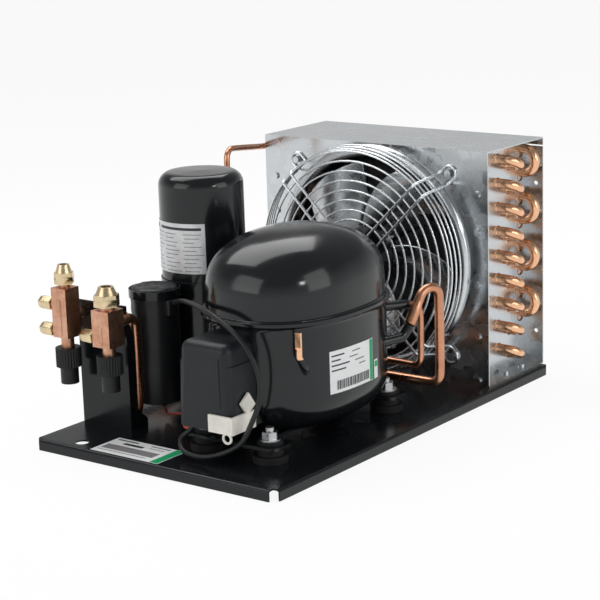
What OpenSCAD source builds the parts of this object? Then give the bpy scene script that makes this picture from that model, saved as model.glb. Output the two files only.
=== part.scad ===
// Air-cooled condensing unit on a pressed tray.
// X runs left to right, Y front to back and Z up, with the origin on the floor at the middle of the footprint.

/* [Base tray] */
// Width of the tray, left to right
tray_w = 288; // [280:2:330]
// Length of the tray, front to back
tray_l = 472; // [464:2:520]
// Height of the folded rim
tray_h = 10.5; // [9:0.5:16]
// Sheet thickness of the tray
tray_t = 1.5; // [1:0.1:2]
// Radius of the mounting hole in the tray
tray_hole_r = 6.5; // [4:0.5:8]

/* [Condenser casing] */
// Width of the fan panel
case_w = 275.2; // [270:0.4:280]
// Height of the casing above the tray
case_h = 240; // [236:1:260]
// Depth of the casing, front to back
case_d = 109.6; // [104:0.4:120]
// Sheet thickness of the casing
case_t = 1.2; // [0.8:0.1:1.6]
// How far each tube sheet stands in from the side of the casing
sheet_inset = 20.4; // [17:0.2:22]
// Radius of the head of a panel screw
screw_head_r = 3.6; // [3:0.1:4.5]

/* [Condenser coil] */
// Outside radius of a coil tube
coil_r = 4.76; // [4:0.02:5]
// Height from one tube to the next in a row
coil_pitch = 24.64; // [24:0.02:25.4]
// Distance between two rows of tubes
row_pitch = 21.65; // [20:0.05:22.5]
// Tubes in the front row
coil_count = 9; // [5:1:9]
// Distance from one fin to the next
fin_pitch = 5; // [4:0.25:7]

/* [Fan] */
// Radius of the hole in the fan panel
orifice_r = 104.8; // [102:0.2:106]
// Tip radius of the fan blades
blade_r = 99; // [80:1:100]
// Number of fan blades
blade_count = 5; // [3:1:6]
// Distance that the guard stands out of the panel
guard_depth = 36.8; // [34:0.2:45]
// Radius of the largest front ring of the guard
guard_r = 114.4; // [112:0.2:116]
// Distance between two front rings
ring_pitch = 10; // [8:0.5:12]
// Radius of the fan motor
motor_r = 33; // [28:0.5:36]

/* [Compressor] */
// Half width of the shell, left to right
shell_a = 72; // [70:0.5:76]
// Half length of the shell, front to back
shell_b = 93; // [90:0.5:98]
// Thickness of the shell
shell_t = 3; // [2.5:0.1:4]
// Height of the seam above the tray
seam_z = 124.5; // [118:0.5:134]
// Height of the top of the shell above the tray
dome_z = 195; // [190:0.5:210]
// Distance between the left and right feet
foot_pitch_x = 73; // [68:1:78]
// Distance between the front and rear feet
foot_pitch_y = 185; // [180:1:192]

/* [Receiver] */
// Outside radius of the receiver
receiver_r = 41.6; // [36:0.2:42]
// Height of the top of the receiver above the tray
receiver_h = 233.5; // [200:0.5:240]
// Wall of the receiver
receiver_t = 2.5; // [2:0.1:4]

/* [Service valves] */
// Height of the bracket above the tray
bracket_h = 121.5; // [116:0.5:130]
// Sheet thickness of the bracket
bracket_t = 2; // [1.5:0.1:3]
// Side of the square liquid valve body
liq_side = 18.6; // [17:0.2:20]
// Side of the square suction valve body
suc_side = 21.3; // [20:0.1:22]
// Width across flats of the liquid flare nut
liq_nut_af = 17; // [16:0.5:19]
// Width across flats of the suction flare nut
suc_nut_af = 22; // [21:0.5:24]

/* [Start capacitor] */
// Radius of the capacitor boot at its top
boot_r = 23.8; // [22:0.2:24]
// Height of the capacitor boot
boot_h = 114; // [100:1:118]

/* [Pipework] */
// Outside radius of the suction tube
suc_r = 4.76; // [4:0.02:4.8]
// Outside radius of the discharge tube
dis_r = 3.18; // [2.8:0.02:3.4]
// Outside radius of the liquid tube
liq_r = 3.18; // [2.8:0.02:3.4]
// Wall of the copper tubes
tube_t = 0.9; // [0.7:0.05:1.1]

/* [Hidden] */

// Shared clearances
over = 1;
gap = 0.3;
run = 0.05;
seat = 0.2;
fine = 48;
bend_steps = 4;
tube_sides = 14;
wire_sides = 6;

// Tray details
tray_bend_r = 3;
tray_corner_r = 7;
tray_notch = 7;
tray_hole_in_x = 48.3;
tray_hole_in_y = 15.8;
label_t = 0.3;
base_label_w = 82;
base_label_l = 40;
base_label_in_x = 69.5;
base_label_in_y = 4;

// Places on the tray, measured from its middle, its left edge or its front edge
top_z = tray_h;
case_y = tray_l / 2 - case_d;
side_x = case_w / 2;
sheet_x = side_x - sheet_inset;
fan_up = 122.3;
fan_z = top_z + fan_up;
comp_x = 51;
comp_in_y = 161;
comp_y = comp_in_y - tray_l / 2;
recv_in_x = 65;
recv_in_y = 184;
recv_x = recv_in_x - tray_w / 2;
recv_y = recv_in_y - tray_l / 2;
cap_in_x = 59;
cap_in_y = 115.6;
cap_x = cap_in_x - tray_w / 2;
cap_y = cap_in_y - tray_l / 2;
bracket_in_y = 68;
bracket_y = bracket_in_y - tray_l / 2;
bracket_in_x = 2;
bracket_x = bracket_in_x - tray_w / 2;
bracket_w = 61.5;
liq_in_x = 6;
liq_x = liq_in_x - tray_w / 2;
suc_in_x = 59.2;
suc_x = suc_in_x - tray_w / 2;
valve_stand = 20;
valve_y = bracket_y - valve_stand;

// Colours
gloss_black = "#16181a";
matte_black = "#2b2e31";
grey_plastic = "#3c4246";
zinc = "#c3c8cb";
steel = "#9aa0a4";
iron = "#5b5f63";
copper = "#b8683f";
brass = "#c9a35a";
white = "#eeece4";
label_white = "#e8eae8";
rubber = "#1b1b1b";
red = "#b02a22";
can_brown = "#3a2f2a";

function unit(v) = v / norm(v);
function across(d) = abs(d.z) < abs(d.x) + abs(d.y) ? unit(cross([0, 0, 1], d)) : unit(cross([1, 0, 0], d));
function turn(p, i) = acos(max(-1, min(1, unit(p[i] - p[i - 1]) * unit(p[i + 1] - p[i]))));
function setback(p, i, bend) = i == 0 || i == len(p) - 1 ? 0 : bend * tan(turn(p, i) / 2);

// Children stand at p with their +Z along d and their +X along s
module aim(p, d, s) {
  v = cross(d, s);
  multmatrix([[s.x, v.x, d.x, p.x], [s.y, v.y, d.y, p.y], [s.z, v.z, d.z, p.z], [0, 0, 0, 1]]) children();
}

// A round bar through the points p, with each corner bent to the radius bend
module bar(p, r, bend) {
  for (i = [0 : len(p) - 2]) {
    d = unit(p[i + 1] - p[i]);
    from = p[i] + d * setback(p, i, bend);
    to = p[i + 1] - d * setback(p, i + 1, bend);
    aim(from, d, across(d)) cylinder(r = r, h = norm(to - from), $fn = fine);
  }
  for (i = [1 : 1 : len(p) - 2]) {
    a = unit(p[i] - p[i - 1]);
    b = unit(p[i + 1] - p[i]);
    n = unit(b - (b * a) * a);
    start = p[i] - a * setback(p, i, bend);
    aim(start + n * bend, cross(-n, a), -n)
      rotate_extrude(angle = turn(p, i), $fn = fine) translate([bend, 0]) circle(r = r, $fn = fine);
  }
}

// The points of the route p with each corner turned into an arc of the radius bend
function corner(p, i, bend) = let (
  a = unit(p[i] - p[i - 1]),
  b = unit(p[i + 1] - p[i]),
  n = unit(b - (b * a) * a),
  middle = p[i] - a * setback(p, i, bend) + n * bend)
  [for (k = [0 : bend_steps]) let (q = turn(p, i) * k / bend_steps) middle + bend * (a * sin(q) - n * cos(q))];
function route(p, bend) = [for (i = [0 : len(p) - 1]) each
  i == 0 || i == len(p) - 1 ? [p[i]] : corner(p, i, bend)];
function along(q, loop) = let (m = len(q)) [for (i = [0 : m - 1]) let (
  before = loop || i > 0 ? unit(q[i] - q[(i + m - 1) % m]) : unit(q[1] - q[0]),
  after = loop || i < m - 1 ? unit(q[(i + 1) % m] - q[i]) : before)
  unit(before + after)];
function carried(t, v, i = 0) = i == len(t) ? [] :
  let (w = unit(v - (v * t[i]) * t[i])) concat([w], carried(t, w, i + 1));

// A round section of the radii r swept along the points q, hollow where bores are given
module sweep(q, r, bores = [], sides = wire_sides, loop = false) {
  m = len(q);
  t = along(q, loop);
  u = carried(t, across(t[0]));
  layers = len(bores) > 0 ? [r, bores] : [r];
  pts = [for (v = layers, i = [0 : m - 1], k = [0 : sides - 1]) let (a = 360 * k / sides)
    q[i] + v[i] * (cos(a) * u[i] + sin(a) * cross(t[i], u[i]))];
  skin = [for (i = [0 : m - (loop ? 1 : 2)], k = [0 : sides - 1]) let (
    a = i * sides + k, b = i * sides + (k + 1) % sides,
    c = ((i + 1) % m) * sides + k, d = ((i + 1) % m) * sides + (k + 1) % sides)
    each [[a, c, b], [b, c, d]]];
  in = m * sides;
  inner = [for (f = skin) [f[0] + in, f[2] + in, f[1] + in]];
  last = (m - 1) * sides;
  ends = loop ? [] : len(bores) > 0 ? [for (k = [0 : sides - 1]) let (j = (k + 1) % sides) each [
    [k, j, in + k], [j, in + j, in + k],
    [last + k, in + last + k, last + j], [last + j, in + last + k, in + last + j]]] :
    [[for (k = [0 : sides - 1]) k], [for (k = [sides - 1 : -1 : 0]) last + k]];
  polyhedron(pts, concat(skin, len(bores) > 0 ? inner : [], ends), convexity = 8);
}
function even(r, q) = [for (v = q) r];

// A tube along the route p, open at both ends
module tube(p, r, wall, bend) {
  q = route(p, bend);
  sweep(q, even(r, q), even(r - wall, q), tube_sides);
}

// A closed ring of wire round the Z axis
module hoop(r, wire) {
  rotate_extrude($fn = fine * 2) translate([r, 0]) circle(r = wire, $fn = fine);
}

// A block whose long edges along Y are rounded at the top
module topped(w, l, h, r) {
  translate([-w / 2, -l / 2, 0]) cube([w, l, h - r]);
  translate([r - w / 2, -l / 2, 0]) cube([w - 2 * r, l, h]);
  for (s = [-1, 1]) translate([s * (w / 2 - r), l / 2, h - r]) rotate([90, 0, 0])
    cylinder(r = r, h = l, $fn = fine);
}

// A block with all four upright edges rounded
module rounded(w, l, h, r) {
  translate([-w / 2, r - l / 2, 0]) cube([w, l - 2 * r, h]);
  translate([r - w / 2, -l / 2, 0]) cube([w - 2 * r, l, h]);
  for (x = [-1, 1], y = [-1, 1]) translate([x * (w / 2 - r), y * (l / 2 - r), 0])
    cylinder(r = r, h = h, $fn = fine);
}

module pressed(w, l, h, r) {
  intersection() {
    topped(w, l, h, r);
    rotate([0, 0, 90]) topped(l, w, h, r);
  }
}

// Base tray
module base_tray() color(gloss_black) difference() {
  intersection() {
    pressed(tray_w, tray_l, tray_h, tray_bend_r);
    rounded(tray_w, tray_l, tray_h, tray_corner_r);
  }
  translate([0, 0, -over]) intersection() {
    pressed(tray_w - 2 * tray_t, tray_l - 2 * tray_t, tray_h - tray_t + over, tray_bend_r - tray_t);
    rounded(tray_w - 2 * tray_t, tray_l - 2 * tray_t, tray_h, tray_corner_r - tray_t);
  }
  for (s = [-1, 1]) translate([s * tray_w / 2, -tray_l / 2, tray_h / 2])
    cube([tray_notch * 2, tray_notch * 2, tray_h + over], center = true);
  translate([tray_hole_in_x - tray_w / 2, tray_hole_in_y - tray_l / 2, 0])
    cylinder(r = tray_hole_r, h = tray_h + over, $fn = fine);
  for (p = comp_feet) translate([p.x, p.y, 0]) cylinder(r = bolt_r + gap, h = tray_h + over, $fn = fine);
  for (p = flat_screws) translate([p.x, p.y, 0]) cylinder(r = screw_r + run, h = tray_h + over, $fn = fine);
  translate([recv_x, recv_y, 0]) cylinder(r = stud_r + gap, h = tray_h + over, $fn = fine);
}

module base_label() color(label_white)
  translate([base_label_in_x - tray_w / 2, base_label_in_y - tray_l / 2, top_z])
  cube([base_label_w, base_label_l, label_t]);

// Valve bracket, a bent plate with a foot towards the back and a brace on its right
foot_l = 24;
brace_w = 8;
brace_low = 6;
brace_z = 116;
brace_run = 30;
bracket_screw_in = 14;
bracket_screw_share = 0.6;
module bracket_plate() translate([bracket_x, bracket_y, top_z]) {
  cube([bracket_w, bracket_t, bracket_h]);
  cube([bracket_w, foot_l, bracket_t]);
}
module valve_bracket() color(gloss_black) difference() {
  union() {
    bracket_plate();
    translate([bracket_x + bracket_w - bracket_t, bracket_y + bracket_t, top_z]) brace();
  }
  for (v = [[liq_x, liq_line_z, boss_r], [suc_x, suc_line_z, boss_r + suc_r - liq_r]])
    translate([v[0], bracket_y - over, v[1]]) rotate([-90, 0, 0])
    cylinder(r = v[2] + seat, h = bracket_t + boss_out + 2 * over, $fn = fine);
  for (p = bracket_screws) translate([p.x, p.y, top_z - over])
    cylinder(r = screw_r + run, h = bracket_t + 2 * over, $fn = fine);
}
module brace() rotate([90, 0, 90]) linear_extrude(bracket_t) polygon([
  [0, 0], [foot_l - bracket_t, 0], [foot_l - bracket_t, brace_low], [brace_w, 3 * brace_low],
  [brace_w, brace_z - brace_run],
  [0, brace_z]]);
bracket_screws = [for (x = [bracket_screw_in, bracket_w - bracket_screw_in])
  [bracket_x + x, bracket_y + foot_l * bracket_screw_share]];

// Service valves, upright, with the flare nut on top, the charging ports to the left
// and the plastic stem cap below
valve_nut_h = 11;
valve_nose_h = 7.5;
liq_body_z = 90;
liq_body_h = 48;
suc_body_z = 87.5;
suc_body_h = 35;
liq_neck_h = 10.5;
suc_neck_h = 8.7;
valve_top_neck = 3.4;
boss_r = 5;
cap_knurl_h = 18.5;
cap_skirt_h = 16.5;
cap_knurl_r = 12.4;
cap_skirt_r = 8.7;
cap_wall = 1.8;
knurl_depth = 0.8;
knurls = 28;
neck_r = 6.2;
stem_r = 3;
stem_square = 4;
stem_show = 6;
stem_in = 20;
port_r = 4.4;
port_neck = 6;
port_thread_r = 3.9;
port_thread_l = 10;
port_cap_r = 7;
port_cap_l = 18;
port_cap_wall = 1.6;
liq_port_up = [29.8, 4.2];
suc_port_up = 6;
liq_line_share = 0.4;
suc_line_share = 0.6;
spud_flare = 2;
liq_spud_r = 5.5;
suc_spud_r = 7.9;
liq_bore_r = 2.2;
suc_bore_r = 3.6;
spud_h = 10;
liq_z0 = top_z + liq_body_z;
suc_z0 = top_z + suc_body_z;
liq_port_z = [for (v = liq_port_up) liq_z0 + v];
suc_port_z = suc_z0 + suc_port_up;
liq_line_z = liq_z0 + liq_body_h * liq_line_share;
suc_line_z = suc_z0 + suc_body_h * suc_line_share;

module valve_body(x, z0, side, h, neck_h, spud_r, bore_r, ports, line_z, line_r)
color(copper) translate([x, valve_y, 0]) difference() {
  union() {
    translate([-side / 2, -side / 2, z0]) cube([side, side, h]);
    translate([0, 0, z0 - neck_h - neck_in]) cylinder(r = neck_r, h = neck_h + neck_in, $fn = fine);
    translate([0, 0, z0 + h]) cylinder(r = spud_r, h = valve_top_neck + spud_h - spud_flare, $fn = fine);
    translate([0, 0, z0 + h + valve_top_neck + spud_h - spud_flare])
      cylinder(r1 = spud_r, r2 = spud_r - spud_flare, h = spud_flare, $fn = fine);
    for (z = ports) translate([-side / 2, 0, z]) rotate([0, -90, 0]) {
      cylinder(r = port_r, h = port_neck, $fn = fine);
      cylinder(r = port_thread_r, h = port_neck + port_thread_l, $fn = fine);
    }
    translate([0, side / 2, line_z]) rotate([-90, 0, 0])
      cylinder(r = boss_r + line_r - liq_r, h = boss_end - side / 2, $fn = fine);
  }
  translate([0, 0, z0 - neck_h - neck_in - over])
    cylinder(r = stem_r + run, h = neck_h + neck_in + over + stem_in + gap, $fn = fine);
  translate([0, 0, z0 + stem_in]) cylinder(r = bore_r, h = h + valve_top_neck + spud_h, $fn = fine);
  for (z = ports) translate([0, 0, z]) rotate([0, -90, 0])
    cylinder(r = port_r / 3, h = side + port_neck + port_thread_l, $fn = fine);
  translate([0, 0, line_z]) rotate([-90, 0, 0])
    cylinder(r = line_r - tube_t, h = boss_end + over, $fn = fine);
}
neck_in = 13;
boss_out = 3;
boss_end = valve_stand + bracket_t + boss_out;
module liquid_valve_body() valve_body(liq_x, liq_z0, liq_side, liq_body_h, liq_neck_h, liq_spud_r,
  liq_bore_r, liq_port_z, liq_line_z, liq_r);
module suction_valve_body() valve_body(suc_x, suc_z0, suc_side, suc_body_h, suc_neck_h, suc_spud_r,
  suc_bore_r, [suc_port_z], suc_line_z, suc_r);

module valve_stem(x, z0, neck_h) color(steel) translate([x, valve_y, z0 - neck_h - neck_in]) {
  cylinder(r = stem_r, h = neck_h + neck_in + stem_in, $fn = fine);
  translate([-stem_square / 2, -stem_square / 2, -stem_show]) cube([stem_square, stem_square, stem_show]);
}
module liquid_valve_stem() valve_stem(liq_x, liq_z0, liq_neck_h);
module suction_valve_stem() valve_stem(suc_x, suc_z0, suc_neck_h);

// Flare nut with a chamfered hexagon and a coned nose
module flare_nut(x, z, af, spud_r, hole_r) color(brass) translate([x, valve_y, z]) difference() {
  union() {
    intersection() {
      cylinder(r = af / sqrt(3), h = valve_nut_h, $fn = 6);
      cylinder(r1 = af * nut_low_share, r2 = af * nut_high_share, h = valve_nut_h, $fn = fine);
    }
    translate([0, 0, valve_nut_h])
      cylinder(r1 = af * nose_low_share, r2 = hole_r + nut_lip, h = valve_nose_h, $fn = fine);
  }
  translate([0, 0, -over]) cylinder(r = spud_r + run, h = spud_h + gap + over, $fn = fine);
  cylinder(r = hole_r, h = valve_nut_h + valve_nose_h + over, $fn = fine);
}
nut_low_share = 0.6;
nut_high_share = 0.56;
nose_low_share = 0.47;
nut_lip = 2.2;
tube_fit = 0.08;
module liquid_flare_nut() flare_nut(liq_x, liq_z0 + liq_body_h + valve_top_neck, liq_nut_af,
  liq_spud_r, liq_r + tube_fit);
module suction_flare_nut() flare_nut(suc_x, suc_z0 + suc_body_h + valve_top_neck, suc_nut_af,
  suc_spud_r, suc_r + tube_fit);

// Knurled plastic cap over the valve stem
function star(r, depth, n) = [for (i = [0 : 2 * n - 1]) let (a = 180 * i / n, q = i % 2 ? r - depth : r)
  [q * cos(a), q * sin(a)]];
module stem_cap(x, top) color(matte_black) translate([x, valve_y, top - cap_knurl_h - cap_skirt_h])
difference() {
  union() {
    cylinder(r = cap_skirt_r, h = cap_skirt_h + over, $fn = fine);
    translate([0, 0, cap_skirt_h]) linear_extrude(cap_knurl_h) polygon(star(cap_knurl_r, knurl_depth, knurls));
  }
  translate([0, 0, cap_wall])
    cylinder(r = neck_r + gap, h = cap_knurl_h + cap_skirt_h, $fn = fine);
}
module liquid_stem_cap() stem_cap(liq_x, liq_z0 - liq_neck_h - gap);
module suction_stem_cap() stem_cap(suc_x, suc_z0 - suc_neck_h - gap);

// A cylinder closed by a low dome
module domed(r, h, d) {
  s = (r * r + d * d) / (2 * d);
  cylinder(r = r, h = h - d, $fn = fine);
  intersection() {
    translate([0, 0, h - s]) sphere(r = s, $fn = fine);
    translate([0, 0, h - d]) cylinder(r = r, h = d + over, $fn = fine);
  }
}
port_dome = 3.5;
module port_cap(x, side, z) color(brass) translate([x - side / 2 - port_neck - gap, valve_y, z])
rotate([0, -90, 0]) difference() {
  domed(port_cap_r, port_cap_l, port_dome);
  translate([0, 0, -over]) cylinder(r = port_thread_r + run, h = port_thread_l + over, $fn = fine);
}
module liquid_upper_port_cap() port_cap(liq_x, liq_side, liq_port_z[0]);
module liquid_lower_port_cap() port_cap(liq_x, liq_side, liq_port_z[1]);
module suction_port_cap() port_cap(suc_x, suc_side, suc_port_z);

// Copper lines
line_bend = 11;
low_up = 9.5;
suc_back_up = 25.5;
suc_drop_y = 17;
left_in = 15;
left_in_outer = 4.6;
line_rear_gap = 20;
left_x = left_in - tray_w / 2;
outer_x = left_in_outer - tray_w / 2;
low_z = top_z + low_up;
suc_back_z = top_z + suc_back_up;
rear_y = comp_y + shell_b + line_rear_gap + suc_r;
comp_right = comp_x + shell_a;
// The suction riser beyond the compressor, measured from the shell's right side, its middle and the tray
riser_out = 10.5;
riser_y = rear_y;
loop_top = 125;
loop_out = 5.5;
loop_back = 97;
loop_top_low = 122;
// Ends of the tubes on the shell, measured from the tray under the shell's middle
shell_at = [comp_x, comp_y, top_z];
suc_join_off = [72.6, 80, 91];
suc_kink_off = [70.2, 72, 80.5];
suc_root_off = [60, 50, 79.5];
suc_join = shell_at + suc_join_off;
suc_path = [
  [suc_x, valve_y + boss_end, suc_line_z],
  [suc_x, bracket_y + suc_drop_y, suc_line_z],
  [suc_x, bracket_y + suc_drop_y, low_z],
  [left_x, bracket_y + suc_drop_y, low_z],
  [left_x, rear_y - 2 * line_rear_gap, low_z],
  [left_x, rear_y, suc_back_z],
  [comp_right + riser_out, riser_y, suc_back_z],
  [comp_right + riser_out, riser_y, top_z + loop_top],
  [comp_right + loop_out, comp_y + loop_back, top_z + loop_top_low],
  suc_join];
socket_t = 1;
suc_socket_l = 20;
module suction_line() color(copper) {
  plain = route(suc_path, line_bend);
  n = len(plain) - 1;
  back = unit(plain[n - 1] - plain[n]);
  q = concat([for (i = [0 : n - 1]) plain[i]],
    [plain[n] + back * (suc_socket_l + socket_t), plain[n] + back * suc_socket_l, plain[n]]);
  sweep(q, [for (i = [0 : n + 2]) i > n ? suc_r + socket_t : suc_r], even(suc_r - tube_t, q), tube_sides);
}
liq_drop_y = 13;
thin_bend = 7.5;
recv_port_up = 24;
recv_socket = -2;
liq_path = [
  [liq_x, valve_y + boss_end, liq_line_z],
  [liq_x, bracket_y + liq_drop_y, liq_line_z],
  [liq_x, bracket_y + liq_drop_y, low_z],
  [outer_x, bracket_y + liq_drop_y + line_bend, low_z],
  [outer_x, recv_y - receiver_r, low_z],
  [outer_x, recv_y, top_z + recv_port_up],
  [recv_x - receiver_r + recv_socket, recv_y, top_z + recv_port_up]];
module liquid_line() color(copper) tube(liq_path, liq_r, tube_t, thin_bend);

dis_back_up = 44.5;
dis_root_off = [51, 65, 109.5];
dis_join_off = [64.5, 91, 108];
dis_turn_off = [70, 104, 106];
dis_join = shell_at + dis_join_off;
dis_back_gap = 11;
dis_riser_back = 6;
wrap_rise = 2;
dis_out = 70;
dis_y = comp_y + shell_b + dis_back_gap;
dis_riser_y = rear_y + dis_riser_back;
dis_riser_in = 16;
dis_top_up = 236.5;
coil_in_y = 51.2;
coil_y = case_y + coil_in_y;
coil_top_up = 224.7;
coil_z = top_z + coil_top_up;
coil_show = 7;
coil_end = sheet_x + coil_show;
wrap_gap = 2.3;
wrap_x = -side_x - dis_r - wrap_gap;
dis_path = [
  dis_join,
  shell_at + dis_turn_off,
  [comp_x + dis_out, dis_y, top_z + dis_back_up],
  [dis_riser_in - tray_w / 2, dis_riser_y, top_z + dis_back_up],
  [dis_riser_in - tray_w / 2, dis_riser_y, top_z + dis_top_up],
  [wrap_x, case_y, coil_z + wrap_rise],
  [wrap_x, coil_y, coil_z],
  [-coil_end, coil_y, coil_z]];
module discharge_line() color(copper) tube(dis_path, dis_r, tube_t, line_bend);

row_drop = 10;
coil_low_z = coil_z - (coil_count - 1) * coil_pitch - row_drop;
out_y = coil_y + row_pitch;
out_turn_y = 80;
recv_in_up = 180;
out_back = 17;
out_path = [
  [-coil_end, out_y, coil_low_z],
  [wrap_x, out_y, coil_low_z],
  [wrap_x, out_turn_y, low_z],
  [recv_x, out_turn_y, low_z],
  [recv_x, recv_y + receiver_r + out_back, low_z],
  [recv_x, recv_y + receiver_r + out_back, top_z + recv_in_up],
  [recv_x, recv_y + receiver_r - recv_socket, top_z + recv_in_up]];
module condenser_outlet_line() color(copper) tube(out_path, liq_r, tube_t, thin_bend);

// Receiver
function arc(x, y, r, a0, a1, n) = [for (i = [0 : n]) let (a = a0 + (a1 - a0) * i / n)
  [x + r * cos(a), y + r * sin(a)]];
knuckle_r = 13;
foot_up = 9;
arc_steps = 6;
module can(r, h, k) rotate_extrude($fn = fine * 2) polygon(concat(
  [[0, 0], [r - k, 0]], arc(r - k, k, k, -90, 0, arc_steps),
  arc(r - k, h - k, k, 0, 70, arc_steps), [[0, h]]));
recv_boss_r = 5.5;
module receiver_shell() color(gloss_black) translate([recv_x, recv_y, top_z + foot_up]) difference() {
  union() {
    can(receiver_r, receiver_h - foot_up, knuckle_r);
    for (q = [[-1, 0, recv_port_up], [0, 1, recv_in_up]])
      translate([q[0] * (receiver_r - receiver_t), q[1] * (receiver_r - receiver_t), q[2] - foot_up])
      rotate(q[0] < 0 ? [0, -90, 0] : [-90, 0, 0])
      cylinder(r = recv_boss_r, h = receiver_t - recv_socket, $fn = fine);
  }
  translate([0, 0, receiver_t]) can(receiver_r - receiver_t, receiver_h - foot_up - 2 * receiver_t,
    knuckle_r - receiver_t);
}
foot_ring_r = 30;
stud_r = 4;
stud_nut_r = 7.5;
stud_nut_h = 6;
stud_end = 2;
module receiver_foot() color(gloss_black) translate([recv_x, recv_y, 0]) {
  translate([0, 0, top_z]) cylinder(r = foot_ring_r, h = foot_up, $fn = fine);
  translate([0, 0, stud_end]) cylinder(r = stud_r, h = top_z, $fn = fine);
  translate([0, 0, top_z - tray_t - stud_nut_h]) cylinder(r = stud_nut_r, h = stud_nut_h, $fn = 6);
}
recv_label_up = 139;
recv_label_h = 49;
recv_label_from = -145;
recv_label_turn = 98;
module receiver_label() color(label_white) translate([recv_x, recv_y, top_z + recv_label_up])
  rotate([0, 0, recv_label_from]) rotate_extrude(angle = recv_label_turn, $fn = fine)
  translate([receiver_r + seat, 0]) square([label_t, recv_label_h]);

// Compressor shell, lofted through rings of one rounded outline
outline_power = 2.4;
shell_n = 48;
function lobe(c) = sign(c) * pow(abs(c), 2 / outline_power);
function ring(a, b, z) = [for (i = [0 : shell_n - 1]) [a * lobe(cos(360 * i / shell_n)),
  b * lobe(sin(360 * i / shell_n)), z]];
module loft(levels) {
  n = len(levels);
  pts = [for (v = levels) each ring(v[0], v[1], v[2])];
  sides = [for (k = [0 : n - 2], i = [0 : shell_n - 1]) let (j = (i + 1) % shell_n)
    each [[k * shell_n + i, (k + 1) * shell_n + i, k * shell_n + j],
    [k * shell_n + j, (k + 1) * shell_n + i, (k + 1) * shell_n + j]]];
  foot = [[for (i = [0 : shell_n - 1]) i]];
  head = [[for (i = [shell_n - 1 : -1 : 0]) (n - 1) * shell_n + i]];
  polyhedron(concat(pts), concat(sides, foot, head), convexity = 6);
}
belly_r = 32;
belly_h = 34;
shell_up = 16.5;
rim_out = 3.5;
rim_h = 4;
rim_skirt = 1;
dome_wall_h = 14;
dome_power = 0.8;
dome_last = 84;
shell_steps = 7;
// Half sizes and heights of the lower shell at the inset t, from its floor up to its rim
function belly(t) = [for (i = [0 : shell_steps]) let (q = 90 * i / shell_steps)
  [shell_a - belly_r * (1 - sin(q)) - t, shell_b - belly_r * (1 - sin(q)) - t,
  top_z + shell_up + t + (belly_h - t) * (1 - cos(q))]];
function dome(t) = [for (i = [0 : shell_steps + 2]) let (q = dome_last * i / (shell_steps + 2))
  [(shell_a - rim_skirt - t) * pow(cos(q), dome_power), (shell_b - rim_skirt - t) * pow(cos(q), dome_power),
  top_z + seam_z + dome_wall_h + (dome_z - seam_z - dome_wall_h - t) * pow(sin(q), dome_power)]];
function back(v) = [for (i = [len(v) - 1 : -1 : 0]) v[i]];
rim_z = top_z + seam_z;
module compressor_lower_shell() color(gloss_black) translate([comp_x, comp_y, 0]) loft(concat(
  belly(0), [
  [shell_a, shell_b, rim_z - rim_h], [shell_a + rim_out, shell_b + rim_out, rim_z - rim_h],
  [shell_a + rim_out, shell_b + rim_out, rim_z],
  [shell_a - shell_t, shell_b - shell_t, rim_z]],
  back(belly(shell_t))));
module compressor_upper_shell() color(gloss_black) translate([comp_x, comp_y, 0]) loft(concat(
  back(dome(shell_t)), [
  [shell_a - rim_skirt - shell_t, shell_b - rim_skirt - shell_t, rim_z],
  [shell_a - rim_skirt, shell_b - rim_skirt, rim_z]],
  dome(0)));

// Feet, grommets and their bolts
comp_feet_x = 1;
comp_feet_y = -2;
comp_feet = [for (x = [-1, 1], y = [-1, 1])
  [comp_x + comp_feet_x + x * foot_pitch_x / 2, comp_y + comp_feet_y + y * foot_pitch_y / 2]];
foot_t = 3;
foot_w = 106;
foot_d = 31;
foot_r = 8;
foot_hole_r = 8.5;
saddle_w = 56;
foot_z = top_z + shell_up - foot_t;
module compressor_feet() color(gloss_black) difference() {
  translate([comp_x + 1, comp_y + comp_feet_y, foot_z]) {
    rounded(saddle_w, foot_pitch_y, foot_t, foot_r);
    for (s = [-1, 1]) translate([0, s * foot_pitch_y / 2, 0]) rounded(foot_w, foot_d, foot_t, foot_r);
  }
  for (p = comp_feet) translate([p.x, p.y, foot_z - over])
    cylinder(r = foot_hole_r + seat, h = foot_t + 2 * over, $fn = fine);
}
grommet_r = 16.2;
grommet_top_r = 12;
grommet_lip = 3;
grommet_base_h = 6.5;
sleeve_r = 5.5;
bolt_r = 4;
bolt_head_h = 5;
washer_r = 10;
washer_t = 1.5;
nut_af = 13;
bolt_nut_h = 6.5;
bolt_show = 4;
grommet_h = shell_up - foot_t;
module grommet() difference() {
  union() {
    cylinder(r = grommet_r, h = grommet_base_h, $fn = fine);
    cylinder(r = grommet_top_r, h = grommet_h, $fn = fine);
    cylinder(r = foot_hole_r, h = grommet_h + foot_t, $fn = fine);
    translate([0, 0, grommet_h + foot_t]) cylinder(r = grommet_top_r, h = grommet_lip, $fn = fine);
  }
  translate([0, 0, -over]) cylinder(r = sleeve_r + seat, h = grommet_h + foot_t + grommet_lip + 2 * over,
    $fn = fine);
}
module rubber_grommets() color(rubber) for (p = comp_feet) translate([p.x, p.y, top_z]) grommet();
module grommet_bolt() {
  stack = grommet_h + foot_t + grommet_lip;
  translate([0, 0, -tray_t - bolt_head_h]) cylinder(r = nut_af / sqrt(3), h = bolt_head_h, $fn = 6);
  translate([0, 0, -tray_t]) cylinder(r = bolt_r, h = tray_t + stack + washer_t + bolt_nut_h + bolt_show,
    $fn = fine);
  cylinder(r = sleeve_r, h = stack, $fn = fine);
  translate([0, 0, stack]) cylinder(r = washer_r, h = washer_t, $fn = fine);
  translate([0, 0, stack + washer_t]) cylinder(r = nut_af / sqrt(3), h = bolt_nut_h, $fn = 6);
}
module grommet_fasteners() color(zinc) for (p = comp_feet) translate([p.x, p.y, top_z]) grommet_bolt();

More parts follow.
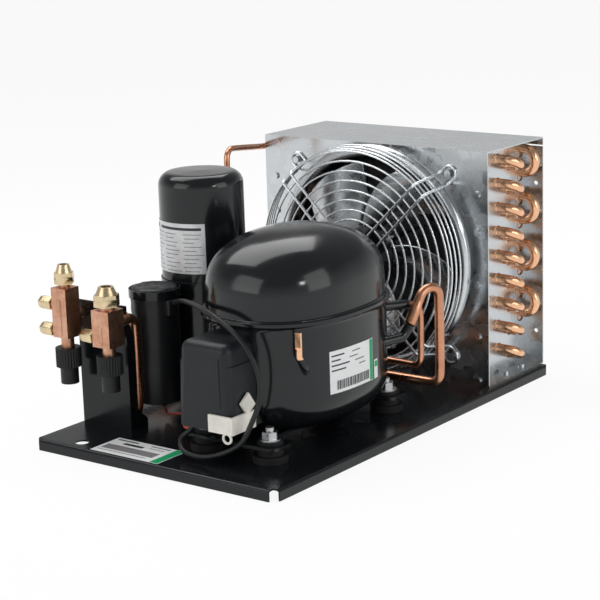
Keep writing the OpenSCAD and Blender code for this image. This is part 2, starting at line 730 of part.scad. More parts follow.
// Labels and stubs on the shell
shell_label_from = -42;
shell_label_to = 20;
shell_label_up = 52.5;
shell_label_h = 40;
sticker_to = 29;
sticker_from = 22.5;
sticker_h = 18;
function strip(y0, y1, off) = [for (i = [0 : shell_n]) let (y = y0 + (y1 - y0) * i / shell_n)
  [(shell_a + off) * pow(1 - pow(abs(y) / (shell_b + off), outline_power), 1 / outline_power), y]];
module shell_strip(y0, y1, z, h) translate([comp_x, comp_y, z]) linear_extrude(h)
  polygon(concat(strip(y0, y1, run), back(strip(y0, y1, run + label_t))));
module compressor_label() color(label_white) {
  shell_strip(shell_label_from, shell_label_to, top_z + shell_label_up, shell_label_h);
  shell_strip(sticker_from, sticker_to, top_z + shell_label_up, sticker_h);
}
stub_bend = 9;
process_bend = 4.5;
module stub(p, r, bend = stub_bend) {
  q = route(p, bend);
  sweep(q, even(r, q), sides = tube_sides);
}
dis_stub_r = 4.6;
stub_end = 4;
suc_in = unit(suc_path[len(suc_path) - 2] - suc_join);
dis_in = unit(dis_path[1] - dis_join);
module shell_stubs() color(gloss_black) {
  difference() {
    union() {
      stub([shell_at + suc_root_off, shell_at + suc_kink_off, suc_join - suc_in * stub_end,
        suc_join - suc_in * seat], suc_r);
      stub([shell_at + dis_root_off, dis_join - dis_in * stub_end, dis_join - dis_in * seat], dis_stub_r);
    }
    translate([comp_x, comp_y, top_z + belly_h]) shell_prism(run, seam_z - belly_h - rim_h);
  }
}
// The upright part of the shell, larger by off, to cut what meets it
module shell_prism(off, h) linear_extrude(h)
  polygon([for (p = ring(shell_a + off, shell_b + off, 0)) [p.x, p.y]]);
process_offs = [[55, -62, 76], [61.5, -70.5, 84], [58.5, -75.5, 94], [58.5, -75.5, 117]];
process_path = [for (v = process_offs) shell_at + v];
process_r = 3.2;
pinch_t = 2.2;
pinch_l = 14;
module process_tube() color(copper) difference() {
  stub(process_path, process_r, process_bend);
  translate([comp_x, comp_y, top_z + belly_h]) shell_prism(run, seam_z - belly_h - rim_h);
  for (s = [-1, 1]) translate(process_path[3] - [0, s * (pinch_t / 2 + process_r), pinch_l / 2])
    cube([4 * process_r, 2 * process_r, pinch_l + over], center = true);
}

// Electrical parts on the front end of the shell
front_y = comp_y - shell_b;
elec_in_x = 10;
elec_x = comp_x - elec_in_x;
term_r = 13;
term_t = 2.4;
term_up = 70;
pin_r = 1.2;
pin_l = 7;
pin_circle = 6;
module hermetic_terminal() color(steel) translate([elec_x, front_y - run, top_z + term_up]) rotate([90, 0, 0]) {
  cylinder(r = term_r, h = term_t, $fn = fine);
  for (a = [90, 210, 330]) rotate([0, 0, a]) translate([pin_circle, 0, 0])
    cylinder(r = pin_r, h = term_t + pin_l, $fn = fine);
}
relay_w = 34;
relay_d = 15;
relay_h = 38;
relay_r = 4;
relay_up = 52;
module start_relay() color(matte_black) difference() {
  translate([elec_x, front_y - run - term_t - seat - relay_d / 2, top_z + relay_up])
    rounded(relay_w, relay_d, relay_h, relay_r);
  translate([elec_x, front_y - run, top_z + term_up]) rotate([90, 0, 0])
    for (a = [90, 210, 330]) rotate([0, 0, a]) translate([pin_circle, 0, 0])
    cylinder(r = pin_r + seat, h = term_t + pin_l + gap, $fn = fine);
}
overload_r = 8.5;
overload_t = 12;
overload_side = 7;
overload_up = 98.8;
module overload_protector() color(grey_plastic)
  translate([elec_x + overload_side, front_y - run - term_t, top_z + overload_up])
  rotate([90, 0, 0]) cylinder(r = overload_r, h = overload_t, $fn = fine);

// Terminal cover, a tapered box open below and at the back
cover_w = 64;
cover_d = 36;
cover_h = 80;
cover_up = 30.5;
cover_taper = 5;
cover_lean = 1;
cover_sides = 32;
crown_sides = 24;
cover_r = 6;
cover_top_r = 9;
cover_t = 2;
cover_reach = 22;
cover_x = elec_x;
cover_z = top_z + cover_up;
module cover_block(t) hull() {
  for (x = [-1, 1]) {
    translate([x * (cover_w / 2 - cover_r), cover_r - cover_d, 0])
      cylinder(r = cover_r - t, h = fine_h, $fn = cover_sides);
    translate([x * (cover_w / 2 - cover_r), cover_reach, 0]) cylinder(r = cover_r - t, h = fine_h, $fn = cover_sides);
    translate([x * (cover_w / 2 - cover_top_r - cover_taper), cover_top_r + cover_lean - cover_d, cover_h - cover_top_r])
      sphere(r = cover_top_r - t, $fn = crown_sides);
    translate([x * (cover_w / 2 - cover_top_r - cover_taper), cover_reach, cover_h - cover_top_r])
      sphere(r = cover_top_r - t, $fn = crown_sides);
  }
}
fine_h = 0.5;
module terminal_cover() color(grey_plastic) difference() {
  translate([cover_x, front_y, cover_z]) cover_block(0);
  translate([cover_x, front_y, cover_z - fine_h]) cover_block(cover_t);
  translate([comp_x, comp_y, cover_z - over]) shell_prism(gap, cover_h + 2 * over);
}

// White cord clamp round the lower right corner of the cover
clamp_t = 2.5;
clamp_w = 25;
clamp_h = 16;
clamp_side = 34;
ear_w = 14;
ear_up = 15;
ear_lean = 35;
eye_r = 4.4;
eye_wire = 1.2;
eye_drop = 5;
clamp_x = cover_x + cover_w / 2;
clamp_y = front_y - cover_d;
clamp_screw_in = 27;
clamp_screw_up = 8;
clamp_screw_r = 1.6;
clamp_screw_head = 3.2;
module cord_clamp() color(white) difference() {
  union() {
    translate([clamp_x - clamp_w, clamp_y - clamp_t - seat, cover_z]) cube([clamp_w + clamp_t + seat, clamp_t, clamp_h]);
    translate([clamp_x + seat, clamp_y - clamp_t - seat, cover_z]) cube([clamp_t, clamp_side, clamp_h]);
    translate([clamp_x + seat, clamp_y + clamp_side - ear_w, cover_z + clamp_h - clamp_t])
      rotate([ear_lean, 0, 0]) cube([clamp_t, ear_w, ear_up]);
    translate([clamp_x - eye_r, clamp_y - clamp_t / 2 - seat, cover_z - eye_drop + eye_wire])
      rotate([90, 0, 0]) hoop(eye_r, eye_wire);
  }
  translate([clamp_x, clamp_y + clamp_screw_in, cover_z + clamp_screw_up]) rotate([0, 90, 0])
    cylinder(r = clamp_screw_r + run, h = 2 * clamp_t + over, $fn = fine);
}
module clamp_screw() color(brass)
  translate([clamp_x + seat, clamp_y + clamp_screw_in, cover_z + clamp_screw_up]) rotate([0, 90, 0]) {
  cylinder(r = clamp_screw_r, h = clamp_t, $fn = fine);
  translate([0, 0, clamp_t]) cylinder(r = clamp_screw_head, h = clamp_screw_r, $fn = fine);
}

// Start capacitor in its rubber boot, strapped to the receiver
cap_up = 18.3;
boot_taper = 2.6;
boot_t = 2;
boot_edge = 4;
can_r = 18.6;
can_in = 3;
relief_turn = -12;
relief_w = 13;
relief_d = 7;
relief_h = 16;
relief_up = 87.5;
cap_z = top_z + cap_up;
module boot_profile(t) rotate_extrude($fn = fine * 2) polygon(concat(
  [[0, t], [boot_r - boot_taper - t, t]],
  arc(boot_r - boot_edge, boot_h - boot_edge, boot_edge - t, 0, 90, arc_steps), [[0, boot_h - t]]));
module capacitor_boot() color(matte_black) translate([cap_x, cap_y, cap_z]) difference() {
  union() {
    boot_profile(0);
    rotate([0, 0, relief_turn]) translate([boot_r - boot_t, -relief_w / 2, relief_up])
      cube([relief_d, relief_w, relief_h]);
  }
  translate([0, 0, -over]) cylinder(r = can_r + seat, h = boot_h - boot_t + over, $fn = fine);
}
tab_w = 6.3;
tab_t = 0.8;
tab_l = 9;
tab_apart = 6;
module capacitor_can() color(can_brown) {
  translate([cap_x, cap_y, cap_z + can_in]) cylinder(r = can_r, h = boot_h - boot_t - can_in - seat, $fn = fine);
  for (s = [-1, 1]) translate([cap_x + s * tab_apart - tab_t / 2, cap_y - tab_w / 2, tab_z])
    cube([tab_t, tab_w, tab_l + can_in]);
}
wire_r = 1.5;
wire_bend = 4;
tab_z = cap_z + can_in - tab_l;
wire_path = [[cap_x + tab_apart, cap_y, tab_z], [-78, -121, 17], [-62, -128, 21], [-30, -140, 25],
  [-6, -180, 30], [16, -186, 33], [24, -186, 54]];
module capacitor_wire() color(red) {
  q = route(wire_path, wire_bend);
  sweep(q, even(wire_r, q), sides = lead_sides);
}
strap_t = 1;
strap_h = 8;
strap_up = 122;
strap_tail = 14;
module band(r) difference() {
  cylinder(r = r + seat + strap_t, h = strap_h, $fn = fine * 2);
  translate([0, 0, -over]) cylinder(r = r + seat, h = strap_h + 2 * over, $fn = fine * 2);
}
module capacitor_strap() color(zinc) difference() {
  union() {
    translate([recv_x, recv_y, top_z + strap_up]) band(receiver_r);
    translate([cap_x, cap_y, top_z + strap_up]) band(boot_r);
    translate([cap_x - strap_tail / 2, cap_y, top_z + strap_up])
      cube([strap_tail, recv_y - cap_y, strap_h]);
  }
  translate([recv_x, recv_y, top_z]) cylinder(r = receiver_r + seat, h = receiver_h, $fn = fine * 2);
  translate([cap_x, cap_y, top_z]) cylinder(r = boot_r + seat, h = receiver_h, $fn = fine * 2);
}
lead_r = 2.4;
lead_bend = 8;
lead_sides = 10;
lead_path = [[-57, -126, 129], [-30, -140, 137], [26, -174, 141], [67, -186, 128], [88, -186, 102],
  [93, -188, 74], [88, -196, 50], [80, -202, 33], [60, -208, 21.5], [38, -210, 16.5], [18, -207, 18],
  [9, -199, 26], [17, -193, 36], [20, -192, 52]];
module capacitor_lead() color(matte_black) {
  q = route(lead_path, lead_bend);
  sweep(q, even(lead_r, q), sides = lead_sides);
}

// Motor and pump inside the shell, round the middle of the shell
pump_up = 40;
pump_z = top_z + pump_up;
stack_w = 104;
stack_l = 112;
stack_h = 46;
stack_hole_r = 32;
stack_corner = 12;
module in_shell(z) translate([comp_x, comp_y, z]) children();
module stator_stack() color(iron) in_shell(pump_z) difference() {
  rounded(stack_w, stack_l, stack_h, stack_corner);
  translate([0, 0, -over]) cylinder(r = stack_hole_r, h = stack_h + 2 * over, $fn = fine);
}
winding_r = 42;
winding_w = 8.5;
module stator_windings() color(copper) for (z = [pump_z - winding_w, pump_z + stack_h + winding_w])
  in_shell(z) hoop(winding_r, winding_w);
rotor_r = 31.4;
rotor_h = 48;
shaft_r = 9;
module rotor() color(steel) in_shell(pump_z - over) difference() {
  cylinder(r = rotor_r, h = rotor_h, $fn = fine);
  translate([0, 0, -over]) cylinder(r = shaft_r, h = rotor_h + 2 * over, $fn = fine);
}
bearing_r = 16;
web_up = 117.5;
web_t = 9;
web_r = 24;
pin_offset = 8;
crank_pin_r = 7;
crank_pin_h = 21;
rotor_top = pump_z - over + rotor_h;
web_z = top_z + web_up;
module crankshaft() color(steel) {
  in_shell(pump_z - 2 * over) cylinder(r = shaft_r, h = web_z - pump_z + 2 * over, $fn = fine);
  in_shell(web_z) cylinder(r = web_r, h = web_t, $fn = fine);
  in_shell(web_z + web_t) translate([0, pin_offset, 0]) cylinder(r = crank_pin_r, h = crank_pin_h, $fn = fine);
}
block_w = 96;
block_l = 104;
block_t = 12;
block_post = 12;
block_z = web_z - gap - block_t;
barrel_z = web_z + web_t + crank_pin_h / 2;
barrel_r = 26;
barrel_foot = 40;
bore_r = 19;
barrel_from = 30;
barrel_l = 29;
module cylinder_block() color(iron) difference() {
  union() {
    in_shell(block_z) rounded(block_w, block_l, block_t, stack_corner);
    in_shell(rotor_top + gap) cylinder(r = bearing_r, h = block_z - rotor_top, $fn = fine);
    for (x = [-1, 1], y = [-1, 1]) in_shell(pump_z + stack_h)
      translate([x * (block_w / 2 - block_post / 2), y * (block_l / 2 - block_post / 2), 0])
      cylinder(r = block_post / 2, h = block_z - pump_z - stack_h, $fn = fine);
    in_shell(barrel_z) translate([0, barrel_from, 0]) rotate([-90, 0, 0])
      cylinder(r = barrel_r, h = barrel_l, $fn = fine);
    in_shell(block_z) translate([-barrel_foot / 2, barrel_from, 0])
      cube([barrel_foot, barrel_l, barrel_z - block_z]);
  }
  in_shell(pump_z) cylinder(r = shaft_r + run, h = web_z, $fn = fine);
  in_shell(barrel_z) translate([0, barrel_from - over, 0]) rotate([-90, 0, 0])
    cylinder(r = bore_r, h = barrel_l + 2 * over, $fn = fine);
}
head_t = 13;
head_w = 50;
head_r = 5;
module cylinder_head() color(iron) in_shell(barrel_z)
  translate([0, barrel_from + barrel_l, -head_w / 2]) translate([0, head_t / 2, 0])
  rounded(head_w, head_t, head_w, head_r);
piston_fit = 0.03;
skirt_t = 2.8;
crown_t = 4;
piston_l = 27;
piston_y = barrel_from + barrel_l - piston_l - gap;
module piston() color(steel) in_shell(barrel_z) translate([0, piston_y, 0]) rotate([-90, 0, 0]) difference() {
  cylinder(r = bore_r - piston_fit, h = piston_l, $fn = fine);
  translate([0, 0, -over]) cylinder(r = bore_r - skirt_t, h = piston_l - crown_t + over, $fn = fine);
}
big_end_r = 12;
small_end_r = 6.5;
rod_h = 12;
shank_w = 8;
shank_h = 7;
rod_l = piston_y + piston_l - crown_t - small_end_r - 1.5 - pin_offset;
module connecting_rod() color(steel) in_shell(barrel_z - rod_h / 2) translate([0, pin_offset, 0]) difference() {
  union() {
    cylinder(r = big_end_r, h = rod_h, $fn = fine);
    translate([0, rod_l, 0]) cylinder(r = small_end_r, h = rod_h, $fn = fine);
    translate([-shank_w / 2, 0, rod_h / 2 - shank_h / 2]) cube([shank_w, rod_l, shank_h]);
  }
  translate([0, 0, -over]) cylinder(r = crank_pin_r + run, h = rod_h + 2 * over, $fn = fine);
}
spring_r = 6;
spring_t = 2;
spring_x = 34;
spring_y = 46;
spring_up = 22.6;
module suspension_springs() color(steel) for (x = [-1, 1], y = [-1, 1])
  in_shell(top_z + spring_up) translate([x * spring_x, y * spring_y, 0]) difference() {
  cylinder(r = spring_r, h = pump_z - top_z - spring_up, $fn = fine);
  translate([0, 0, -over]) cylinder(r = spring_r - spring_t, h = pump_z, $fn = fine);
}

// Casing
lip_r = 6;
lip_back = 9;
flange_w = 16;
floor_w = 20;
sheet_gap = 0.3;
roof_z = top_z + case_h;
screw_r = 1.9;
screw_up = [6, 52, 105, 159, 196.5];
screw_x = side_x - 12.8;
front_screws = [for (s = [-1, 1], z = screw_up) [s * screw_x, z]];
sheet_floor_y = [54, 86];
sheet_screws = [for (s = [-1, 1], y = sheet_floor_y) [s * screw_x, case_y + y]];
flat_screws = concat(bracket_screws, sheet_screws);
rear_hole_r = 2.2;
rear_holes = [35, 192];
module wall(x, y, z, w, d, h) translate([x, y, z]) cube([w, d, h]);
module fan_shroud() color(zinc) difference() {
  union() {
    wall(-side_x, case_y, top_z, case_w, case_t, case_h);
    wall(-side_x, case_y, roof_z - case_t, case_w, case_d, case_t);
    wall(-side_x, case_y + case_d - case_t, roof_z - flange_w / 2, case_w, case_t, flange_w / 2);
    wall(-sheet_x, case_y, top_z, 2 * sheet_x, floor_w, case_t);
    translate([0, case_y, fan_z]) rotate([90, 0, 0]) rotate_extrude($fn = fine * 2)
      polygon(concat([[orifice_r, -case_t - lip_back], [orifice_r + case_t, -case_t - lip_back]],
      [[orifice_r + case_t, 0]], arc(orifice_r + lip_r, 0, lip_r - case_t, 180, 0, 2 * arc_steps),
      arc(orifice_r + lip_r, 0, lip_r, 0, 180, 2 * arc_steps)));
  }
  translate([0, case_y - over, fan_z]) rotate([-90, 0, 0]) cylinder(r = orifice_r, h = case_t + 2 * over,
    $fn = fine);
  for (p = front_screws) translate([p.x, case_y - over, top_z + p.y]) rotate([-90, 0, 0])
    cylinder(r = screw_r + run, h = case_t + 2 * over, $fn = fine);
  for (x = [-1, 1], z = [-1, 1]) translate([x * foot_at, case_y - over, fan_z + z * foot_at])
    rotate([-90, 0, 0]) cylinder(r = screw_r + run, h = case_t + 2 * over, $fn = fine);
}
// A tube sheet with flanges turned outwards at the front, the back and the bottom
sheet_y = case_y + case_t;
sheet_d = case_d - case_t;
sheet_h = case_h - case_t - sheet_gap;
module tube_sheet() difference() {
  union() {
    wall(sheet_x, sheet_y, top_z, case_t, sheet_d, sheet_h);
    wall(sheet_x, sheet_y, top_z, flange_w, case_t, sheet_h);
    wall(sheet_x, sheet_y + sheet_d - case_t, top_z, sheet_inset, case_t, sheet_h - flange_w / 2);
    wall(sheet_x, sheet_y, top_z, sheet_inset, sheet_d, case_t);
  }
  for (p = front_screws) translate([p.x, sheet_y - over, top_z + p.y]) rotate([-90, 0, 0])
    cylinder(r = screw_r + run, h = case_t + 2 * over, $fn = fine);
  for (p = flat_screws) translate([p.x, p.y, top_z - over])
    cylinder(r = screw_r + run, h = case_t + 2 * over, $fn = fine);
  for (z = rear_holes) translate([side_x - flange_w / 2, sheet_y + sheet_d + over, top_z + z])
    rotate([90, 0, 0]) cylinder(r = rear_hole_r, h = case_t + 2 * over, $fn = fine);
  for (p = coil_holes) translate([sheet_x - over, p.x, p.y]) rotate([0, 90, 0])
    cylinder(r = coil_r + run, h = case_t + 2 * over, $fn = fine);
}
module tube_sheet_right() color(zinc) tube_sheet();
module tube_sheet_left() color(zinc) mirror([1, 0, 0]) tube_sheet();

// Coil: three rows of tubes, each row lower than the one in front of it
function row(k, i) = [coil_y + k * row_pitch, coil_z - i * coil_pitch
  - (k < 2 ? k * row_drop : 2 * row_drop - coil_pitch)];
coil_holes = concat(
  [for (i = [0 : coil_count - 1], k = [0, 1]) row(k, i)],
  [for (i = [0 : coil_count - 2]) row(2, i)]);
fin_t = 1;
fin_deep = 9;
fin_front = coil_y - row_pitch / 2;
fin_back = coil_y + 2.5 * row_pitch;
fin_low = 3;
fin_h = case_h - 2 * fin_low - case_t;
fin_count = floor((2 * (sheet_x - gap) - fin_t) / fin_pitch / 2);
fin_edge = sheet_x - gap;
function comb(y, dir) = [for (i = [-fin_count : fin_count]) each [
  [i * fin_pitch - fin_t / 2, y + dir * fin_deep], [i * fin_pitch - fin_t / 2, y],
  [i * fin_pitch + fin_t / 2, y], [i * fin_pitch + fin_t / 2, y + dir * fin_deep]]];
module fin_pack() color(steel) difference() {
  translate([0, 0, top_z + fin_low]) linear_extrude(fin_h) polygon(concat(
    [[-fin_edge, fin_front + fin_deep]], comb(fin_front, 1),
    [[fin_edge, fin_front + fin_deep], [fin_edge, fin_back - fin_deep]],
    back(comb(fin_back, -1)), [[-fin_edge, fin_back - fin_deep]]));
  for (p = coil_holes) translate([-side_x, p.x, p.y]) rotate([0, 90, 0])
    cylinder(r = coil_r + run, h = case_w, $fn = fine);
}
module coil_tubes() color(copper) for (p = coil_holes) translate([-coil_end, p.x, p.y]) rotate([0, 90, 0])
  difference() {
  cylinder(r = coil_r, h = 2 * coil_end, $fn = fine);
  translate([0, 0, -over]) cylinder(r = coil_r - tube_t, h = 2 * (coil_end + over), $fn = fine);
}
// A return bend joining two tube ends given as [y, z], on the side s
bell_t = 0.8;
bell_l = 4;
module bend(p, q, s) {
  span = norm(q - p);
  reach = s * coil_end;
  mid = [reach, (p.x + q.x) / 2, (p.y + q.y) / 2];
  u = [0, (p.x - q.x) / span, (p.y - q.y) / span];
  aim(mid, cross(u, [s, 0, 0]), u) difference() {
    rotate_extrude(angle = 180, $fn = fine) translate([span / 2, 0]) circle(r = coil_r, $fn = fine);
    rotate_extrude(angle = 180, $fn = fine) translate([span / 2, 0]) circle(r = coil_r - tube_t, $fn = fine);
  }
}
right_links = concat(
  [for (i = [0 : coil_count - 1]) [row(0, i), row(1, i)]],
  [for (i = [0 : 2 : coil_count - 3]) [row(2, i), row(2, i + 1)]]);
left_links = concat(
  [for (i = [1 : 2 : coil_count - 2]) [row(0, i), row(0, i + 1)]],
  [for (i = [0 : 2 : coil_count - 3]) each [[row(1, i), row(2, i)], [row(1, i + 1), row(2, i + 1)]]]);
module return_bends() color(copper) {
  for (v = right_links) bend(v[0], v[1], 1);
  for (v = left_links) bend(v[0], v[1], -1);
}

// Screws of the casing, the guard, the tube sheets and the bracket
head_h = 2.2;
screw_l = 6;
module screw(h) {
  translate([0, 0, h]) cylinder(r = screw_head_r, h = head_h, $fn = fine);
  translate([0, 0, h - screw_l]) cylinder(r = screw_r, h = screw_l, $fn = fine);
}
module panel_screws() color(zinc) {
  for (p = front_screws) translate([p.x, case_y, top_z + p.y]) rotate([90, 0, 0]) screw(0);
  for (x = [-1, 1], z = [-1, 1]) translate([x * foot_at, case_y, fan_z + z * foot_at]) rotate([90, 0, 0])
    screw(2 * foot_wire);
  for (p = sheet_screws) translate([p.x, p.y, top_z]) screw(case_t);
  for (p = bracket_screws) translate([p.x, p.y, top_z]) screw(bracket_t);
}

// Fan guard: rings on four pairs of arms that end in eyes under the panel screws
ring_wire = 1.1;
arm_wire = 1.5;
foot_wire = 1.5;
arm_half = 7.2;
arm_in_r = 34.9;
foot_at = 94.2;
foot_reach = foot_at * sqrt(2);
foot_back = 8.5;
ring_count = 8;
weld = 1;
side_shares = [0.14, 0.3, 0.46];
front_y0 = case_y - guard_depth;
arm_y = front_y0 - ring_wire - arm_wire + weld;
module guard_ring(r, y) translate([0, y, 0]) rotate([90, 0, 0]) rotate_extrude($fn = fine)
  translate([r, 0]) circle(r = ring_wire, $fn = wire_sides);
eye_steps = 10;
module guard_arm() {
  half = route([
    [arm_in_r, arm_y, arm_half],
    [guard_r + arm_wire, arm_y, arm_half],
    [foot_reach - foot_back, case_y - foot_wire, arm_half],
    [foot_reach, case_y - foot_wire, arm_half]], 4 * arm_wire);
  eye = [for (i = [1 : eye_steps - 1]) let (a = 90 - 180 * i / eye_steps)
    [foot_reach + arm_half * cos(a), case_y - foot_wire, arm_half * sin(a)]];
  q = concat(half, eye, [for (v = back(half)) [v.x, v.y, -v.z]]);
  sweep(q, even(arm_wire, q));
}
module fan_guard() color(zinc) translate([0, 0, fan_z]) {
  for (i = [0 : ring_count - 1]) guard_ring(guard_r - i * ring_pitch, front_y0);
  for (v = side_shares) guard_ring(guard_r + arm_wire + v * (foot_reach - foot_back - guard_r - arm_wire)
    - ring_wire - arm_wire + weld, front_y0 + v * (guard_depth - foot_wire));
  for (a = [45 : 90 : 315]) rotate([0, a, 0]) guard_arm();
}

// Fan motor held by the guard, with the rotor and the blades on its shaft
motor_front = 6;
motor_l = 30;
motor_t = 3;
motor_y = arm_y + arm_wire - motor_front;
lug_r = 42;
lug_w = 22;
lug_t = 4;
fan_shaft_r = 3;
armature_r = 20;
armature_l = 20;
armature_gap = 0.4;
hub_r = 24;
hub_l = 18;
hub_cup_t = 2;
blade_t = 1.2;
blade_root_share = 0.9;
hub_y = case_y - 5;
along_y = [-90, 0, 0];
module fan_motor() color(matte_black) translate([0, motor_y, fan_z]) rotate(along_y) difference() {
  union() {
    cylinder(r = motor_r, h = motor_l, $fn = fine);
    for (a = [45 : 90 : 315]) rotate([0, 0, a]) translate([0, -lug_w / 2, motor_front])
      cube([lug_r, lug_w, lug_t]);
  }
  translate([0, 0, motor_t]) cylinder(r = armature_r + armature_gap, h = motor_l - 2 * motor_t, $fn = fine);
  translate([0, 0, -over]) cylinder(r = fan_shaft_r + run, h = motor_l + 2 * over, $fn = fine);
}
module fan_shaft() color(steel) translate([0, motor_y, fan_z]) rotate(along_y) {
  translate([0, 0, -over]) cylinder(r = fan_shaft_r, h = hub_y + hub_l - motor_y + 2 * over, $fn = fine);
  translate([0, 0, motor_l / 2 - armature_l / 2]) cylinder(r = armature_r, h = armature_l, $fn = fine);
}
// One blade as a curved sheet from the hub to its tip
blade_n = 6;
blade_chord = 62;
blade_sweep = 22;
blade_rise = 30;
blade_camber = 5;
function blade_point(u, v, t) = let (
  r = hub_r * blade_root_share + u * (blade_r - hub_r * blade_root_share),
  wide = blade_sweep + (blade_chord - blade_sweep) * (1 - u * u / 2),
  a = (v - 0.5) * wide + u * blade_sweep,
  y = (v - 0.5) * (blade_rise - u * u * blade_camber * 3) - blade_camber * sin(180 * v))
  [sqrt(r * r - pow(blade_t, 2)) * cos(a), sqrt(r * r - pow(blade_t, 2)) * sin(a), y + t];
module blade() {
  n = blade_n;
  m = n + 1;
  pts = [for (t = [-blade_t / 2, blade_t / 2], i = [0 : n], j = [0 : n]) blade_point(i / n, j / n, t)];
  base = [for (i = [0 : n - 1], j = [0 : n - 1]) let (a = i * m + j)
    each [[a, a + m, a + 1], [a + 1, a + m, a + m + 1]]];
  lid = [for (f = base) [f[2], f[1], f[0]] + [m * m, m * m, m * m]];
  edge = concat([for (j = [0 : n - 1]) j], [for (i = [0 : n - 1]) i * m + n],
    [for (j = [n : -1 : 1]) n * m + j], [for (i = [n : -1 : 1]) i * m]);
  wall = [for (k = [0 : len(edge) - 1]) let (p = edge[k], q = edge[(k + 1) % len(edge)])
    each [[p, q, p + m * m], [q, q + m * m, p + m * m]]];
  polyhedron(pts, concat(base, lid, wall), convexity = 6);
}
module fan_blades() color(zinc) translate([0, hub_y, fan_z]) rotate(along_y) {
  difference() {
    cylinder(r = hub_r, h = hub_l, $fn = fine);
    translate([0, 0, -over]) cylinder(r = hub_r - hub_cup_t, h = hub_l - hub_cup_t + over, $fn = fine);
    cylinder(r = fan_shaft_r + run, h = hub_l + over, $fn = fine);
  }
  difference() {
    cylinder(r = fan_shaft_r * 2, h = hub_l, $fn = fine);
    translate([0, 0, -over]) cylinder(r = fan_shaft_r + run / 2, h = hub_l + 2 * over, $fn = fine);
  }
  for (i = [0 : blade_count - 1]) rotate([0, 0, 360 * i / blade_count]) translate([0, 0, hub_l / 2]) blade();
}

// The valves overhang the left edge of the tray, so the tray stands to the right of the middle
reach_x = liq_x - liq_side / 2 - port_neck - gap - port_cap_l;
base_x = -(reach_x + tray_w / 2) / 2;
module placed() translate([base_x, 0, 0]) children();

placed() base_tray();
placed() base_label();
placed() valve_bracket();
placed() liquid_valve_body();
placed() liquid_valve_stem();
placed() liquid_flare_nut();
placed() liquid_stem_cap();
placed() liquid_upper_port_cap();
placed() liquid_lower_port_cap();
placed() suction_valve_body();
placed() suction_valve_stem();
placed() suction_flare_nut();
placed() suction_stem_cap();
placed() suction_port_cap();
placed() suction_line();
placed() liquid_line();
placed() discharge_line();
placed() condenser_outlet_line();
placed() receiver_shell();
placed() receiver_foot();
placed() receiver_label();
placed() compressor_lower_shell();
placed() compressor_upper_shell();
placed() compressor_feet();
placed() rubber_grommets();
placed() grommet_fasteners();
placed() compressor_label();
placed() shell_stubs();
placed() process_tube();
placed() hermetic_terminal();
placed() start_relay();
placed() overload_protector();
placed() terminal_cover();
placed() cord_clamp();
placed() clamp_screw();
placed() capacitor_can();
placed() capacitor_boot();
placed() capacitor_wire();
placed() capacitor_strap();
placed() capacitor_lead();
placed() stator_stack();
placed() stator_windings();
placed() rotor();
placed() crankshaft();
placed() cylinder_block();
placed() cylinder_head();
placed() piston();
placed() connecting_rod();
placed() suspension_springs();
placed() fan_shroud();
placed() tube_sheet_right();
placed() tube_sheet_left();
placed() fin_pack();
placed() coil_tubes();
placed() return_bends();
placed() panel_screws();
placed() fan_guard();
placed() fan_blades();
placed() fan_motor();
placed() fan_shaft();
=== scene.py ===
"""Dresses the condensing unit: finishes for its CAD nodes, detailed pieces, stage and camera."""

from math import atan2, cos, pi, radians, sin

import bmesh
import bpy
from mathutils import Matrix, Vector


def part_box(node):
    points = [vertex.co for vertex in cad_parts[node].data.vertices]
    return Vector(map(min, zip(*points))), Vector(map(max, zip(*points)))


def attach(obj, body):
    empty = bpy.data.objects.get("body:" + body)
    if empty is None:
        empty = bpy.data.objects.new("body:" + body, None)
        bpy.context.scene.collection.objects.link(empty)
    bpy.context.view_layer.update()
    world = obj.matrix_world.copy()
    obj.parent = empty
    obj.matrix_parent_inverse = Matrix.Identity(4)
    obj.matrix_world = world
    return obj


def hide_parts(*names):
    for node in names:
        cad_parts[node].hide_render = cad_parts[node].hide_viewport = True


bl_info = {
    "name": "Condensing Unit",
    "version": (1, 0, 0),
    "blender": (4, 5, 0),
    "location": "View3D > Sidebar > Condensing Unit",
    "description": "Finishes and detailed pieces for an air-cooled condensing unit",
    "category": "Object",
}

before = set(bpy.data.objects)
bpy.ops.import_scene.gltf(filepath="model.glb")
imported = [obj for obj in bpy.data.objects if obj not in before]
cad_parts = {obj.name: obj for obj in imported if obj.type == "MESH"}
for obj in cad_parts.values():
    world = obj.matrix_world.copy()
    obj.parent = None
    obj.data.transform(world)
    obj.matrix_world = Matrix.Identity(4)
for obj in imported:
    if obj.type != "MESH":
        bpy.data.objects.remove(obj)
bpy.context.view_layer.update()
MM = 0.001


def middle(node):
    """The middle of a CAD node's box."""
    low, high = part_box(node)
    return (low + high) / 2


# Properties


